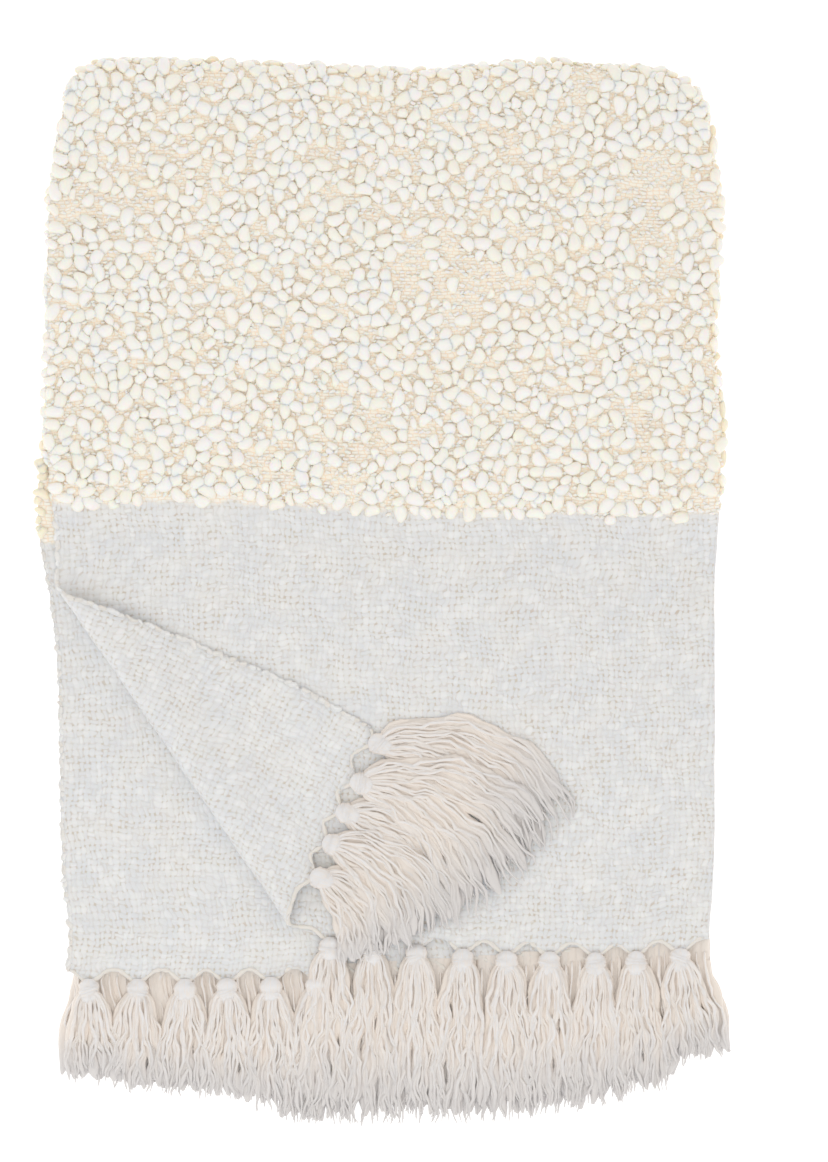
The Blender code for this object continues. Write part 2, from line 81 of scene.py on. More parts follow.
world = bpy.data.worlds.new("room")
world.use_nodes = True
room = world.node_tree
way = room.nodes.new("ShaderNodeTexCoord")
way_parts = room.nodes.new("ShaderNodeSeparateXYZ")
room_light = room.nodes.new("ShaderNodeMix")
room_light.data_type = "RGBA"
room_light.inputs[6].default_value = SIDE_LIGHT
room_light.inputs[7].default_value = TOP_LIGHT
room.links.new(way.outputs["Generated"], way_parts.inputs[0])
room.links.new(way_parts.outputs["Z"], room_light.inputs[0])
room.links.new(room_light.outputs[2], room.nodes["Background"].inputs["Color"])
room.nodes["Background"].inputs["Strength"].default_value = 0.80
bpy.context.scene.world = world


# The cloth: one thick woven sheet of slubby cream yarn, folded in four, plain at both ends and
# pebbly in the middle. Made as a fine grid on the fold's own shape, given thickness, with each
# thread of the weave drawn by the material.

# Sizes are in metres. x runs to the side fold, y to the fold across the throw, and z up.
PLAIN_THICK = 0.003
NUBBY_THICK = 0.0075
NUBBY_BLEND = 0.060
LAYER_GAP = 0.0015
END_GAP = 0.0032
END_GAP_FROM = -0.270
END_GAP_RUN = 0.050
WAVE_HEIGHT = 0.0024
NUBBY_END = (0.089, 0.066)
LEFT_CORNER_RADIUS = 0.050
RIGHT_CORNER_RADIUS = 0.062
INNER_FOLD_DROP = 0.038
CREASE_POINT = np.array((-0.209, -0.138))
CREASE = math.radians(-55.5)
CREASE_OUT = np.array((math.sin(CREASE), -math.cos(CREASE)))
ROLL_RADIUS = 0.009
CORNER_REST = 0.0042
CORNER_SAG_RUN = 0.070
NUBBY_LEFT = -0.314
NUBBY_WIDTH = 0.630
CORNERS_AT = 0.470
FOLD = 0.02
UP = np.array((0.0, 0.0, 1.0))

# The layers' left edges and their right edge at places along the throw, from the cross fold down.
EDGE_COLUMNS = ("y", "left_top", "left_second", "left_under", "right")
EDGE_ROWS = np.array((
    (0.470, -0.303, -0.297, -0.293, 0.311),
    (0.431, -0.311, -0.305, -0.301, 0.313),
    (0.375, -0.317, -0.313, -0.307, 0.323),
    (0.319, -0.320, -0.314, -0.309, 0.319),
    (0.246, -0.319, -0.316, -0.309, 0.314),
    (0.156, -0.321, -0.322, -0.314, 0.324),
    (0.091, -0.316, -0.331, -0.322, 0.321),
    (0.050, -0.311, -0.329, -0.321, 0.318),
    (0.011, -0.314, -0.320, -0.313, 0.316),
    (-0.059, -0.317, -0.311, -0.305, 0.316),
    (-0.154, -0.315, -0.309, -0.303, 0.316),
    (-0.233, -0.314, -0.308, -0.302, 0.316),
    (-0.274, -0.308, -0.306, -0.300, 0.315),
    (-0.320, -0.301, -0.299, -0.295, 0.309),
    (-0.361, -0.303, -0.303, -0.296, 0.312),
))

# The fold across the throw, from left to right.
TOP_COLUMNS = ("x", "y")
TOP_ROWS = np.array((
    (-0.303, 0.512),
    (-0.175, 0.511),
    (-0.051, 0.506),
    (0.044, 0.501),
    (0.149, 0.511),
    (0.206, 0.509),
    (0.258, 0.503),
    (0.311, 0.503),
))

# Where each layer ends, from its free edge at 0 to the side fold at 1.
END_COLUMNS = ("across", "top", "second", "third", "under")
END_ROWS = np.array((
    (0.00, -0.323, -0.361, -0.355, -0.348),
    (0.17, -0.315, -0.361, -0.356, -0.350),
    (0.27, -0.316, -0.361, -0.355, -0.347),
    (0.47, -0.323, -0.356, -0.350, -0.343),
    (0.67, -0.334, -0.349, -0.345, -0.341),
    (0.86, -0.336, -0.339, -0.339, -0.338),
    (1.00, -0.330, -0.330, -0.334, -0.334),
))

# Each layer, whether it is on the outer side of the side fold, and on the upper side of the other.
LAYERS = ("top", "second", "third", "under")
LAYER_SIDES = (
    ("top", True, True),
    ("second", False, True),
    ("third", False, False),
    ("under", True, False),
)

# The weave, the drawn-out end between the knots, the unfolded sizes and the fineness of the grid.
WEAVE_PITCH = (0.0055, 0.0062)
THREAD_WIDTH = (0.29, 0.56)
THREAD_RISE = 0.38
SLUB_RUN = 0.42
BAND_EDGE = (0.438, 0.446)
BEAD_SIZE = (0.0064, 0.0034)
GROUND_THICK = 0.0040
PLAIN_SHOWN = 0.0026
SCALLOP = 0.0120
SCALLOP_HALF = 0.020
SCALLOP_REST = 0.35
SCALLOP_FROM = 0.93
SCALLOP_RUN = 0.07
LAYER_LENGTH = 0.84
SIDE_TURN = 0.008
END_TURN = 0.026
PANEL_WIDTH = 0.620
PANEL_LENGTH = 0.822
GRID_COLUMNS = 84
GRID_ROWS = 68
ROLL_CUTS = 12
CUT_REACH = 0.02
BRIGHT_YARN = (0.86, 0.872, 0.888, 1.0)

# The bunches of the turned-back corner: place along the end, first and last heading in degrees,
# length, spread in degrees, and 1 for those that lie over their neighbours.
CORNER_ROWS = (
    (0.013, -14.0, 82.0, 0.216, 15.0, 0),
    (0.054, -4.0, 74.0, 0.200, 24.0, 1),
    (0.086, 4.0, 86.0, 0.165, 18.0, 0),
    (0.118, 10.0, 92.0, 0.142, 18.0, 1),
    (0.152, 20.0, 94.0, 0.106, 16.0, 0),
)
TOP_KNOTS = 9
LAYER_KNOTS = 14
LAST_LEAN_DEG = 8.0


def read(rows, columns, key, value, at):
    """One column of a table against another, smoothed over a short run so that no corner shows."""
    keys = rows[:, columns.index(key)]
    values = rows[:, columns.index(value)]
    order = np.argsort(keys)
    total = 0.0
    run = (keys.max() - keys.min()) * 0.012
    for step in (-1.5, -0.5, 0.5, 1.5):
        total = total + np.interp(at + step * run, keys[order], values[order])
    return total / 4.0


def left(layer, y):
    column = {"top": "left_top", "second": "left_second"}.get(layer, "left_under")
    return read(EDGE_ROWS, EDGE_COLUMNS, "y", column, y)


def right(y):
    return read(EDGE_ROWS, EDGE_COLUMNS, "y", "right", y)


def top_line(x):
    return read(TOP_ROWS, TOP_COLUMNS, "x", "y", x)


def end_line(layer, across):
    return read(END_ROWS, END_COLUMNS, "across", layer, across)


def ease(value):
    value = np.clip(value, 0.0, 1.0)
    return value * value * (3.0 - 2.0 * value)


def nubby_share(x, y):
    """0 on the plain ends of the cloth, 1 on the nubby middle."""
    across = (x - NUBBY_LEFT) / NUBBY_WIDTH
    line = NUBBY_END[0] + (NUBBY_END[1] - NUBBY_END[0]) * across
    return ease((y - line) / NUBBY_BLEND + 0.5)


def layer_room(x, y):
    return PLAIN_THICK + (NUBBY_THICK - PLAIN_THICK) * nubby_share(x, y)


def wave(x, y):
    swell = np.sin(13.0 * x + 5.0 * y + 0.6) * np.sin(9.0 * y - 4.0 * x + 1.1)
    swell = swell + 0.5 * np.sin(23.0 * x - 11.0 * y + 2.0)
    return WAVE_HEIGHT * (0.5 + swell / 3.0) * ease((y + 0.30) / 0.12)


def level(layer, x, y):
    """Height of the middle of a layer in the pile."""
    gap = LAYER_GAP + (END_GAP - LAYER_GAP) * ease((END_GAP_FROM - y) / END_GAP_RUN)
    up = 3 - LAYERS.index(layer)
    room = layer_room(x, y)
    return up * (room + gap) + room / 2.0 + up / 3.0 * wave(x, y)


def side_fold_x(layer, y):
    pair = ("top", "second") if layer in ("top", "second") else ("third", "under")
    x = right(y)
    reach = (level(pair[0], x, y) - level(pair[1], x, y)) / 2.0
    return x - reach - layer_room(x, y) / 2.0


def fold_line(layer, across):
    edge = left("top", CORNERS_AT)
    x = edge + (right(CORNERS_AT) - edge) * across
    y = top_line(x) - NUBBY_THICK / 2.0
    y = y - (level("top", x, y) - level("under", x, y)) / 2.0
    if layer in ("top", "under"):
        return y
    return y - INNER_FOLD_DROP * np.clip(1.0 - across, 0.0, 1.0) ** 1.5


def plan(layer, across, down):
    """Flat x and y of points of a layer, before its corner is turned."""
    start = fold_line(layer, across)
    y = start - (start - end_line(layer, across)) * down
    edge = left(layer, y)
    return edge + (side_fold_x(layer, y) - edge) * across, y


def turned(x, y):
    """Middle and facing of the top layer at flat places, with its near left corner turned back."""
    tangent = CREASE_POINT - CREASE_OUT * ROLL_RADIUS
    past = (x - tangent[0]) * CREASE_OUT[0] + (y - tangent[1]) * CREASE_OUT[1]
    base_x = x - CREASE_OUT[0] * past
    base_y = y - CREASE_OUT[1] * past
    middle = np.stack((x, y, level("top", x, y)), axis=-1)
    facing = np.broadcast_to(UP, middle.shape).copy()
    out = np.array((CREASE_OUT[0], CREASE_OUT[1], 0.0))
    half_turn = math.pi * ROLL_RADIUS
    angle = np.clip(past / ROLL_RADIUS, 0.0, math.pi)[..., None]
    rolled = UP * np.cos(angle) - out * np.sin(angle)
    centre = np.stack((base_x, base_y, level("top", base_x, base_y) + ROLL_RADIUS), axis=-1)
    back = past - half_turn
    back_x = base_x - CREASE_OUT[0] * back
    back_y = base_y - CREASE_OUT[1] * back
    lift = CORNER_REST + (2.0 * ROLL_RADIUS - CORNER_REST) * (1.0 - ease(back / CORNER_SAG_RUN))
    lying = np.stack((back_x, back_y, level("top", back_x, back_y) + lift), axis=-1)
    in_roll = ((past > 0.0) & (past < half_turn))[..., None]
    beyond = (past >= half_turn)[..., None]
    middle = np.where(in_roll, centre - rolled * ROLL_RADIUS, middle)
    facing = np.where(in_roll, rolled, facing)
    middle = np.where(beyond, lying, middle)
    facing = np.where(beyond, -UP, facing)
    return middle, facing


def rounded(points):
    """Rounds the two corners at the fold across the throw, as seen from above."""
    x, y, z = points[..., 0].copy(), points[..., 1].copy(), points[..., 2]
    corners = (
        (-1.0, LEFT_CORNER_RADIUS, left("top", CORNERS_AT)),
        (1.0, RIGHT_CORNER_RADIUS, right(CORNERS_AT)),
    )
    for side, radius, edge in corners:
        high = top_line(edge)
        far_x = side * (x - edge) / radius + 1.0
        far_y = (y - high) / radius + 1.0
        near = (far_x > 0.0) & (far_y > 0.0)
        round_x = far_x * np.sqrt(np.clip(1.0 - far_y**2 / 2.0, 0.0, 1.0))
        round_y = far_y * np.sqrt(np.clip(1.0 - far_x**2 / 2.0, 0.0, 1.0))
        x = np.where(near, edge + side * (round_x - 1.0) * radius, x)
        y = np.where(near, high + (round_y - 1.0) * radius, y)
    return np.stack((x, y, z), axis=-1)


def past_fold(value):
    return np.clip((np.abs(value) - FOLD) / (1.0 - FOLD), 0.0, None)


def beyond_fold(share):
    return FOLD + (1.0 - FOLD) * share


def sheet(u, v):
    """Middle, facing and nubby share of the cloth at grid places u and v, each from -1 to 1.

    u is negative on the second and third layers and 0 at the side fold. v is negative on the top and
    second layers and 0 at the fold across the throw. The facing is the side that is outside there.
    """
    across = 1.0 - past_fold(u)
    down = past_fold(v)
    turn = np.arcsin(np.clip(u / FOLD, -1.0, 1.0))
    swing = math.pi / 2.0 * np.clip(v / FOLD, -1.0, 1.0)
    flat = (np.abs(u) >= FOLD) & (np.abs(v) >= FOLD)
    middle = np.zeros(u.shape + (3,))
    facing = np.zeros(u.shape + (3,))
    nubby = np.zeros(u.shape)
    side = np.array((1.0, 0.0, 0.0))
    for layer, outer, front in LAYER_SIDES:
        mine = ((u > 0.0) == outer) & ((v < 0.0) == front)
        x, y = plan(layer, across, down)
        share = nubby_share(x, y)
        pair = ("top", "second") if front else ("third", "under")
        if layer == "top":
            here, face = turned(x, y)
        else:
            here = np.stack((x, y, level(layer, x, y)), axis=-1)
            face = np.broadcast_to(UP if layer == "third" else -UP, here.shape)
        high, low = level(pair[0], x, y), level(pair[1], x, y)
        up = 1.0 if front else -1.0
        side_face = side * np.cos(turn)[..., None] + UP * np.sin(turn)[..., None] * up
        side_here = np.stack((x, y, (high + low) / 2.0), axis=-1)
        side_here = side_here + side_face * ((high - low) / 2.0)[..., None]
        top_level, under_level = level("top", x, y), level("under", x, y)
        outer_reach = (top_level - under_level) / 2.0
        inner_reach = (level("second", x, y) - level("third", x, y)) / 2.0
        away = np.stack((np.zeros_like(swing), np.cos(swing), -np.sin(swing)), axis=-1)
        end_face = side * np.cos(turn)[..., None] + away * np.sin(turn)[..., None]
        end_here = np.stack((x, y, (top_level + under_level) / 2.0), axis=-1)
        end_here = end_here + away * ((outer_reach + inner_reach) / 2.0)[..., None]
        end_here = end_here + end_face * ((outer_reach - inner_reach) / 2.0)[..., None]
        on_end = np.abs(v) < FOLD
        for part, spot, spot_face in (
            (mine & flat, here, face),
            (mine & ~flat & ~on_end, side_here, side_face),
            (mine & on_end, end_here, end_face),
        ):
            middle = np.where(part[..., None], spot, middle)
            facing = np.where(part[..., None], spot_face, facing)
        nubby = np.where(mine, share, nubby)
    return middle, facing, nubby


def end_width(layer):
    return plan(layer, 1.0, 1.0)[0] - plan(layer, 0.0, 1.0)[0]


def bunch_places(layer):
    """For each bunch on the flat part of a layer's end: place from the free edge, lean, shortening."""
    wobble = random.Random(7 + LAYERS.index(layer))
    roll_x = CREASE_POINT[0] + (CREASE_POINT[1] - end_line("top", 0.3)) / math.tan(-CREASE)
    roll_from = roll_x + ROLL_RADIUS / math.sin(-CREASE) - plan("top", 0.0, 1.0)[0]
    first, count = (roll_from + 0.004, TOP_KNOTS) if layer == "top" else (0.001, LAYER_KNOTS)
    pitch = (end_width(layer) - first) / count
    rows = []
    for at in range(count):
        along = first + pitch * (at + 0.5) + 0.003 * wobble.uniform(-1.0, 1.0)
        lean = LAST_LEAN_DEG if at == count - 1 else 3.0 * wobble.uniform(-1.0, 1.0)
        rows.append((along, lean, wobble.random()))
    return rows


def scallop(layer, along):
    """How far the cloth's end is drawn out towards the nearest knot, or in between two."""
    knots = [row[0] for row in bunch_places(layer)]
    if layer == "top":
        knots += [row[0] for row in CORNER_ROWS]
    away = np.min(np.abs(along[..., None] - np.array(knots)), axis=-1)
    return 1.0 - ease(away / SCALLOP_HALF) - SCALLOP_REST


def metric(u, v):
    """Flat place on the unfolded cloth in metres."""
    side = np.clip(u / FOLD, -1.0, 1.0)
    along = np.clip(v / FOLD, -1.0, 1.0)
    flat_u = np.arcsin(side) / (math.pi / 2.0) * SIDE_TURN + np.sign(u) * past_fold(u) * PANEL_WIDTH
    flat_v = along * END_TURN + np.sign(v) * past_fold(v) * PANEL_LENGTH
    return flat_u, flat_v


def grid_lines(count, inside):
    far = beyond_fold(np.linspace(0.0, 1.0, count))
    return np.concatenate((-far[::-1], inside, far))


def past_cut(face, spot):
    """How far the middle of a face lies past the line along the crease through this spot."""
    middle = face.calc_center_median()
    return (middle.x - spot[0]) * CREASE_OUT[0] + (middle.y - spot[1]) * CREASE_OUT[1]


fold_u = FOLD * np.sin(math.pi * (np.arange(1, 6) / 6.0 - 0.5))
fold_v = FOLD * (np.arange(1, 12) / 6.0 - 1.0)
grid_u, grid_v = np.meshgrid(grid_lines(GRID_COLUMNS, fold_u), grid_lines(GRID_ROWS, fold_v))
index = np.arange(grid_u.size).reshape(grid_u.shape)
quads = np.stack((index[:-1, :-1], index[:-1, 1:], index[1:, 1:], index[1:, :-1]), axis=-1).reshape(-1, 4)

# The flat top layer is cut along the crease, so that the roll of the turned corner is smooth.
flat = bmesh.new()
is_top = (grid_u >= FOLD - 1e-9) & (grid_v <= -FOLD + 1e-9)
plan_x, plan_y = plan("top", 1.0 - past_fold(grid_u), past_fold(grid_v))
on_top = np.stack((plan_x, plan_y, np.zeros_like(plan_x)), axis=-1)
elsewhere = np.stack((grid_u, grid_v, np.ones_like(grid_u)), axis=-1)
place = np.where(is_top[..., None], on_top, elsewhere)
flat_points = [flat.verts.new(spot) for spot in place.reshape(-1, 3)]
for quad in quads:
    flat.faces.new([flat_points[at] for at in quad])
flat.verts.index_update()
tangent = CREASE_POINT - CREASE_OUT * ROLL_RADIUS
for step in range(ROLL_CUTS + 1):
    spot = tangent + CREASE_OUT * (math.pi * ROLL_RADIUS * step / ROLL_CUTS)
    top_faces = [face for face in flat.faces if all(corner.co.z == 0.0 for corner in face.verts)]
    near = [face for face in top_faces if abs(past_cut(face, spot)) < CUT_REACH]
    near_edges = dict.fromkeys(edge for face in near for edge in face.edges)
    near_points = dict.fromkeys(corner for face in near for corner in face.verts)
    bmesh.ops.bisect_plane(
        flat,
        geom=near + list(near_edges) + list(near_points),
        dist=1e-6,
        plane_co=(spot[0], spot[1], 0.0),
        plane_no=(CREASE_OUT[0], CREASE_OUT[1], 0.0),
    )
flat.verts.index_update()
cut_places = np.array([tuple(point.co) for point in flat.verts])
cut_faces = [[corner.index for corner in face.verts] for face in flat.faces]
rim = [
    (edge.link_loops[0].vert.index, edge.link_loops[0].link_loop_next.vert.index)
    for edge in flat.edges
    if edge.is_boundary
]
flat.free()

new_x, new_y = cut_places[grid_u.size:, 0], cut_places[grid_u.size:, 1]
edge_x = left("top", new_y)
new_across = (new_x - edge_x) / (side_fold_x("top", new_y) - edge_x)
new_start = fold_line("top", new_across)
new_down = (new_start - new_y) / (new_start - end_line("top", new_across))
cloth_u = np.concatenate((grid_u.ravel(), beyond_fold(1.0 - new_across)))
cloth_v = np.concatenate((grid_v.ravel(), -beyond_fold(new_down)))
drawn = np.zeros_like(cloth_u)
for layer, outer, front in LAYER_SIDES:
    mine = ((cloth_u > 0.0) == outer) & ((cloth_v < 0.0) == front)
    along = (1.0 - past_fold(cloth_u)) * end_width(layer)
    drawn = np.where(mine, scallop(layer, along), drawn)
near_end = ease((past_fold(cloth_v) - SCALLOP_FROM) / SCALLOP_RUN)
shown_v = cloth_v * (1.0 + near_end * drawn * SCALLOP / LAYER_LENGTH)
middle, facing, nubby = sheet(cloth_u, shown_v)
flat_u, flat_v = metric(cloth_u, shown_v)
half = (PLAIN_SHOWN + (GROUND_THICK - PLAIN_SHOWN) * nubby) / 2.0
ripple = 0.0005 * np.sin(61.0 * flat_u + 17.0 * flat_v) * np.sin(47.0 * flat_v - 9.0 * flat_u)
ripple = ripple + 0.0003 * np.sin(140.0 * flat_u - 60.0 * flat_v + 1.0) * np.sin(110.0 * flat_v)
lower_limit = np.where((cloth_u > 0.0) & (cloth_v > 0.0), 0.0, 1.0)
middle = middle + facing * (ripple * lower_limit)[:, None]
outside = rounded(middle + facing * half[:, None])
inside = rounded(middle - facing * half[:, None])
total = len(middle)
faces = [face[::-1] for face in cut_faces] + [[at + total for at in face] for face in cut_faces]
faces += [(first, second, second + total, first + total) for first, second in rim]


class Tree:
    """Short calls for the nodes that materials and shape trees share."""

    def feed(self, socket, value):
        if isinstance(value, bpy.types.NodeSocket):
            self.tree.links.new(value, socket)
        else:
            socket.default_value = value

    def maths(self, operation, *values):
        node = self.tree.nodes.new("ShaderNodeMath")
        node.operation = operation
        for at, value in enumerate(values):
            self.feed(node.inputs[at], value)
        return node.outputs[0]

    def times(self, first, second):
        return self.maths("MULTIPLY", first, second)

    def plus(self, first, second):
        return self.maths("ADD", first, second)

    def minus(self, first, second):
        return self.maths("SUBTRACT", first, second)

    def joined(self, x, y, z=0.0):
        node = self.tree.nodes.new("ShaderNodeCombineXYZ")
        for at, value in enumerate((x, y, z)):
            self.feed(node.inputs[at], value)
        return node.outputs[0]

    def parted(self, vector):
        node = self.tree.nodes.new("ShaderNodeSeparateXYZ")
        self.feed(node.inputs[0], vector)
        return node.outputs


class Shader(Tree):
    """The node tree of one material."""

    def __init__(self, name, roughness, sheen, scatter=0.0, warmth=(1.0, 0.7, 0.45)):
        self.material = bpy.data.materials.new(name)
        self.material.use_nodes = True
        self.tree = self.material.node_tree
        self.surface = self.tree.nodes["Principled BSDF"]
        self.surface.inputs["Roughness"].default_value = roughness
        self.surface.inputs["Sheen Weight"].default_value = sheen
        self.surface.inputs["Sheen Roughness"].default_value = 0.5
        self.surface.inputs["Specular IOR Level"].default_value = 0.25
        self.surface.inputs["Subsurface Weight"].default_value = scatter
        self.surface.inputs["Subsurface Scale"].default_value = 0.004
        self.surface.inputs["Subsurface Radius"].default_value = warmth

    def ramp(self, value, low, high, to_low=0.0, to_high=1.0):
        node = self.tree.nodes.new("ShaderNodeMapRange")
        node.interpolation_type = "SMOOTHSTEP"
        for at, part in enumerate((value, low, high, to_low, to_high)):
            self.feed(node.inputs[at], part)
        return node.outputs[0]

    def mix(self, share, first, second):
        node = self.tree.nodes.new("ShaderNodeMix")
        node.data_type = "RGBA"
        self.feed(node.inputs[0], share)
        self.feed(node.inputs[6], first)
        self.feed(node.inputs[7], second)
        return node.outputs[2]

    def scaled(self, vector, scale, shift=(0.0, 0.0, 0.0)):
        node = self.tree.nodes.new("ShaderNodeMapping")
        self.feed(node.inputs["Vector"], vector)
        node.inputs["Scale"].default_value = scale
        node.inputs["Location"].default_value = shift
        return node.outputs[0]

    def noise(self, vector, scale, detail=2.0):
        node = self.tree.nodes.new("ShaderNodeTexNoise")
        self.feed(node.inputs["Vector"], vector)
        node.inputs["Scale"].default_value = scale
        node.inputs["Detail"].default_value = detail
        return node.outputs["Fac"]

    def uv(self):
        node = self.tree.nodes.new("ShaderNodeUVMap")
        node.uv_map = "cloth"
        return node.outputs[0]

    def attribute(self, name):
        node = self.tree.nodes.new("ShaderNodeAttribute")
        node.attribute_name = name
        return node.outputs["Fac"]

    def bump(self, height, distance, strength=1.0):
        node = self.tree.nodes.new("ShaderNodeBump")
        node.inputs["Distance"].default_value = distance
        node.inputs["Strength"].default_value = strength
        self.feed(node.inputs["Height"], height)
        self.tree.links.new(node.outputs[0], self.surface.inputs["Normal"])

    def colour(self, value):
        self.feed(self.surface.inputs["Base Color"], value)


weave = Shader("woven_cloth", 0.92, 0.25, 0.1)
cloth_place = weave.uv()
cloth_x, cloth_y, _ = weave.parted(cloth_place)


def grain(scale_x, scale_y, detail, shift=(0.0, 0.0, 0.0)):
    return weave.noise(weave.scaled(cloth_place, (scale_x, scale_y, 1.0), shift), 1.0, detail)


def thread_set(mine, other, apart, swapped, side):
    """Slubs and height of one set of threads: round across, and over and under the other set."""
    number = weave.maths("FLOOR", mine)
    spot = (weave.times(number, apart), weave.times(other, SLUB_RUN))
    slub = weave.noise(weave.joined(*(spot[::-1] if swapped else spot)), 1.0, 3.0)
    width = weave.ramp(slub, 0.30, 0.70, *THREAD_WIDTH)
    across = weave.maths("DIVIDE", weave.minus(weave.maths("FRACT", mine), 0.5), width)
    around = weave.minus(1.0, weave.times(across, across))
    dome = weave.maths("POWER", weave.maths("MAXIMUM", around, 0.0), 0.5)
    odd = weave.maths("COSINE", weave.times(number, math.pi))
    swing = weave.maths("COSINE", weave.times(weave.minus(other, 0.5), math.pi))
    over = weave.times(weave.times(odd, swing), THREAD_RISE * side)
    return slub, weave.times(dome, weave.plus(1.0 - THREAD_RISE, over))


drift = grain(18.0, 18.0, 2.0)
shake = grain(95.0, 95.0, 1.0)
fibre = grain(900.0, 900.0, 4.0)
cloudy = grain(26.0, 26.0, 4.0)
ragged = grain(60.0, 60.0, 2.0)
patchy = grain(38.0, 52.0, 3.0, (3.0, 1.0, 0.0))
wander = weave.plus(weave.ramp(drift, 0.25, 0.75, -0.55, 0.55), weave.ramp(shake, 0.2, 0.8, -0.24, 0.24))
threads = weave.scaled(cloth_place, (1.0 / WEAVE_PITCH[0], 1.0 / WEAVE_PITCH[1], 1.0))
thread_x, thread_y, _ = weave.parted(threads)
thread_x = weave.plus(thread_x, wander)
thread_y = weave.plus(thread_y, weave.times(wander, -0.8))
slub_x, height_x = thread_set(thread_x, thread_y, 7.31, False, 1.0)
slub_y, height_y = thread_set(thread_y, thread_x, 5.17, True, -1.0)
raised = weave.maths("MAXIMUM", height_x, height_y)

# The ground between the nubs has a row of small beads to each weft.
edge = weave.plus(weave.maths("ABSOLUTE", cloth_y), weave.times(ragged, 0.016))
band = weave.ramp(edge, *BAND_EDGE, 1.0, 0.0)
bead_y = weave.plus(weave.times(cloth_y, 1.0 / BEAD_SIZE[1]), wander)
bead_row = weave.maths("FLOOR", bead_y)
row_shift = weave.noise(weave.joined(weave.times(bead_row, 3.71), 0.5), 1.0, 0.0)
bead_x = weave.plus(weave.times(cloth_x, 1.0 / BEAD_SIZE[0]), weave.times(row_shift, 17.0))
bead_x = weave.plus(bead_x, weave.times(shake, 0.9))
rounds = []
for part, power in ((bead_x, 3.0), (bead_y, 2.5)):
    across = weave.times(weave.minus(weave.maths("FRACT", part), 0.5), 2.0)
    rounds.append(weave.minus(1.0, weave.maths("POWER", weave.maths("ABSOLUTE", across), power)))
bead = weave.times(*rounds)
own_bead = weave.noise(weave.joined(weave.maths("FLOOR", bead_x), weave.times(bead_row, 5.3)), 1.37, 0.0)
beaded = weave.times(weave.times(bead, weave.ramp(own_bead, 0.25, 0.7, 0.5, 1.3)), 0.9)
ground = weave.plus(raised, weave.times(fibre, 0.35))
height = weave.plus(weave.times(band, beaded), weave.times(weave.minus(1.0, band), ground))

# Yarn shows where threads lie or the weave is closed, and painted shade, a warm tan, in the gaps between them
# elsewhere.
open_share = weave.plus(weave.times(patchy, 0.62), weave.times(ragged, 0.38))
closed = weave.ramp(open_share, 0.40, 0.60, 0.86, 0.0)
filled = weave.maths("MAXIMUM", weave.ramp(raised, 0.10, 0.62), closed)
yarn = weave.mix(weave.ramp(cloudy, 0.3, 0.7), (0.705, 0.729, 0.768, 1.0), (0.757, 0.762, 0.768, 1.0))
# Slubs are lighter, most of all on the raised crowns of the threads: real slubs, with a painted highlight on
# the crowns.
slub_highlight = weave.ramp(weave.maths("MAXIMUM", slub_x, slub_y), 0.50, 0.70, 0.0, 0.7)
yarn = weave.mix(weave.times(slub_highlight, raised), yarn, BRIGHT_YARN)
gap_shade = weave.mix(weave.ramp(ragged, 0.35, 0.65), (0.57, 0.48, 0.41, 1.0), (0.60, 0.55, 0.47, 1.0))
bead_tone = weave.mix(weave.ramp(own_bead, 0.3, 0.7), (0.98, 0.92, 0.80, 1.0), (0.98, 0.96, 0.90, 1.0))
# Painted shade: each bead turns warm tan towards its edge, as the shade between the beads.
beads = weave.mix(weave.ramp(bead, 0.05, 0.50), (0.97, 0.77, 0.59, 1.0), bead_tone)
weave.colour(weave.mix(band, weave.mix(filled, gap_shade, yarn), beads))
weave.bump(height, 0.0009, 0.8)

cloth_data = bpy.data.meshes.new("folded_cloth")
cloth_data.from_pydata(np.concatenate((outside, inside)).tolist(), [], faces)
corners = np.zeros(len(cloth_data.loops), dtype=np.int32)
cloth_data.loops.foreach_get("vertex_index", corners)
unfolded = np.tile(np.stack((flat_u, flat_v), axis=-1), (2, 1))[corners]
cloth_data.uv_layers.new(name="cloth").data.foreach_set("uv", unfolded.astype(np.float32).ravel())
cloth_data.shade_smooth()
cloth_data.materials.append(weave.material)
cloth = bpy.data.objects.new("folded_cloth", cloth_data)
bpy.context.scene.collection.objects.link(cloth)
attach(cloth, "root")
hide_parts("cloth")


# The nubs: plump loops of smooth unspun wool that stand on the cloth's middle band, close together
# in drifts, with small crumbs of the same wool between them. Each is a bent, tapered bean laid on
# the cloth at its own turn, and those of the underside are pressed flat.
NUB_LENGTH = 0.0128
NUB_LENGTH_SPREAD = 0.24
NUB_SHORTEST = 0.0080
NUB_LONGEST = 0.0195
NUB_WIDTH_SHARE = (0.60, 0.95)
NUB_NARROWEST = 0.0064
NUB_WIDEST = 0.0135
NUB_HIGHEST = 0.0088
NUB_CLOSENESS = 0.70
NUB_PANEL_WIDTH = 0.612
TOP_BOUNDS = (-0.008, 0.618, -0.450, 0.026)
UNDER_BOUNDS = (-0.008, 0.618, 0.026, 0.450)
TOP_HALVES_AT = 0.31
TOP_TRIES = 11000
UNDER_TRIES = 8000
CRUMB_TRIES = 30000
CRUMB_SIZE = (0.0030, 0.0048)
CRUMB_ROW = 0.0034
RIM_STEP = 0.0078
RIM_AT = 0.6195
BAND_HALF = 0.436
WAIST_RUN = 0.35
LOWEST = 0.0004


def value_noise(seed, size, x, y):
    """Smooth noise from 0 to 1 with features of this size, from a fixed seed."""
    grid = np.random.default_rng(seed).random((257, 257))
    fx, fy = x / size + 1000.0, y / size + 1000.0
    ix, iy = np.floor(fx).astype(int), np.floor(fy).astype(int)
    tx, ty = ease(fx - ix), ease(fy - iy)
    a = grid[iy % 256, ix % 256] * (1 - tx) + grid[iy % 256, (ix + 1) % 256] * tx
    b = grid[(iy + 1) % 256, ix % 256] * (1 - tx) + grid[(iy + 1) % 256, (ix + 1) % 256] * tx
    return a * (1 - ty) + b * ty


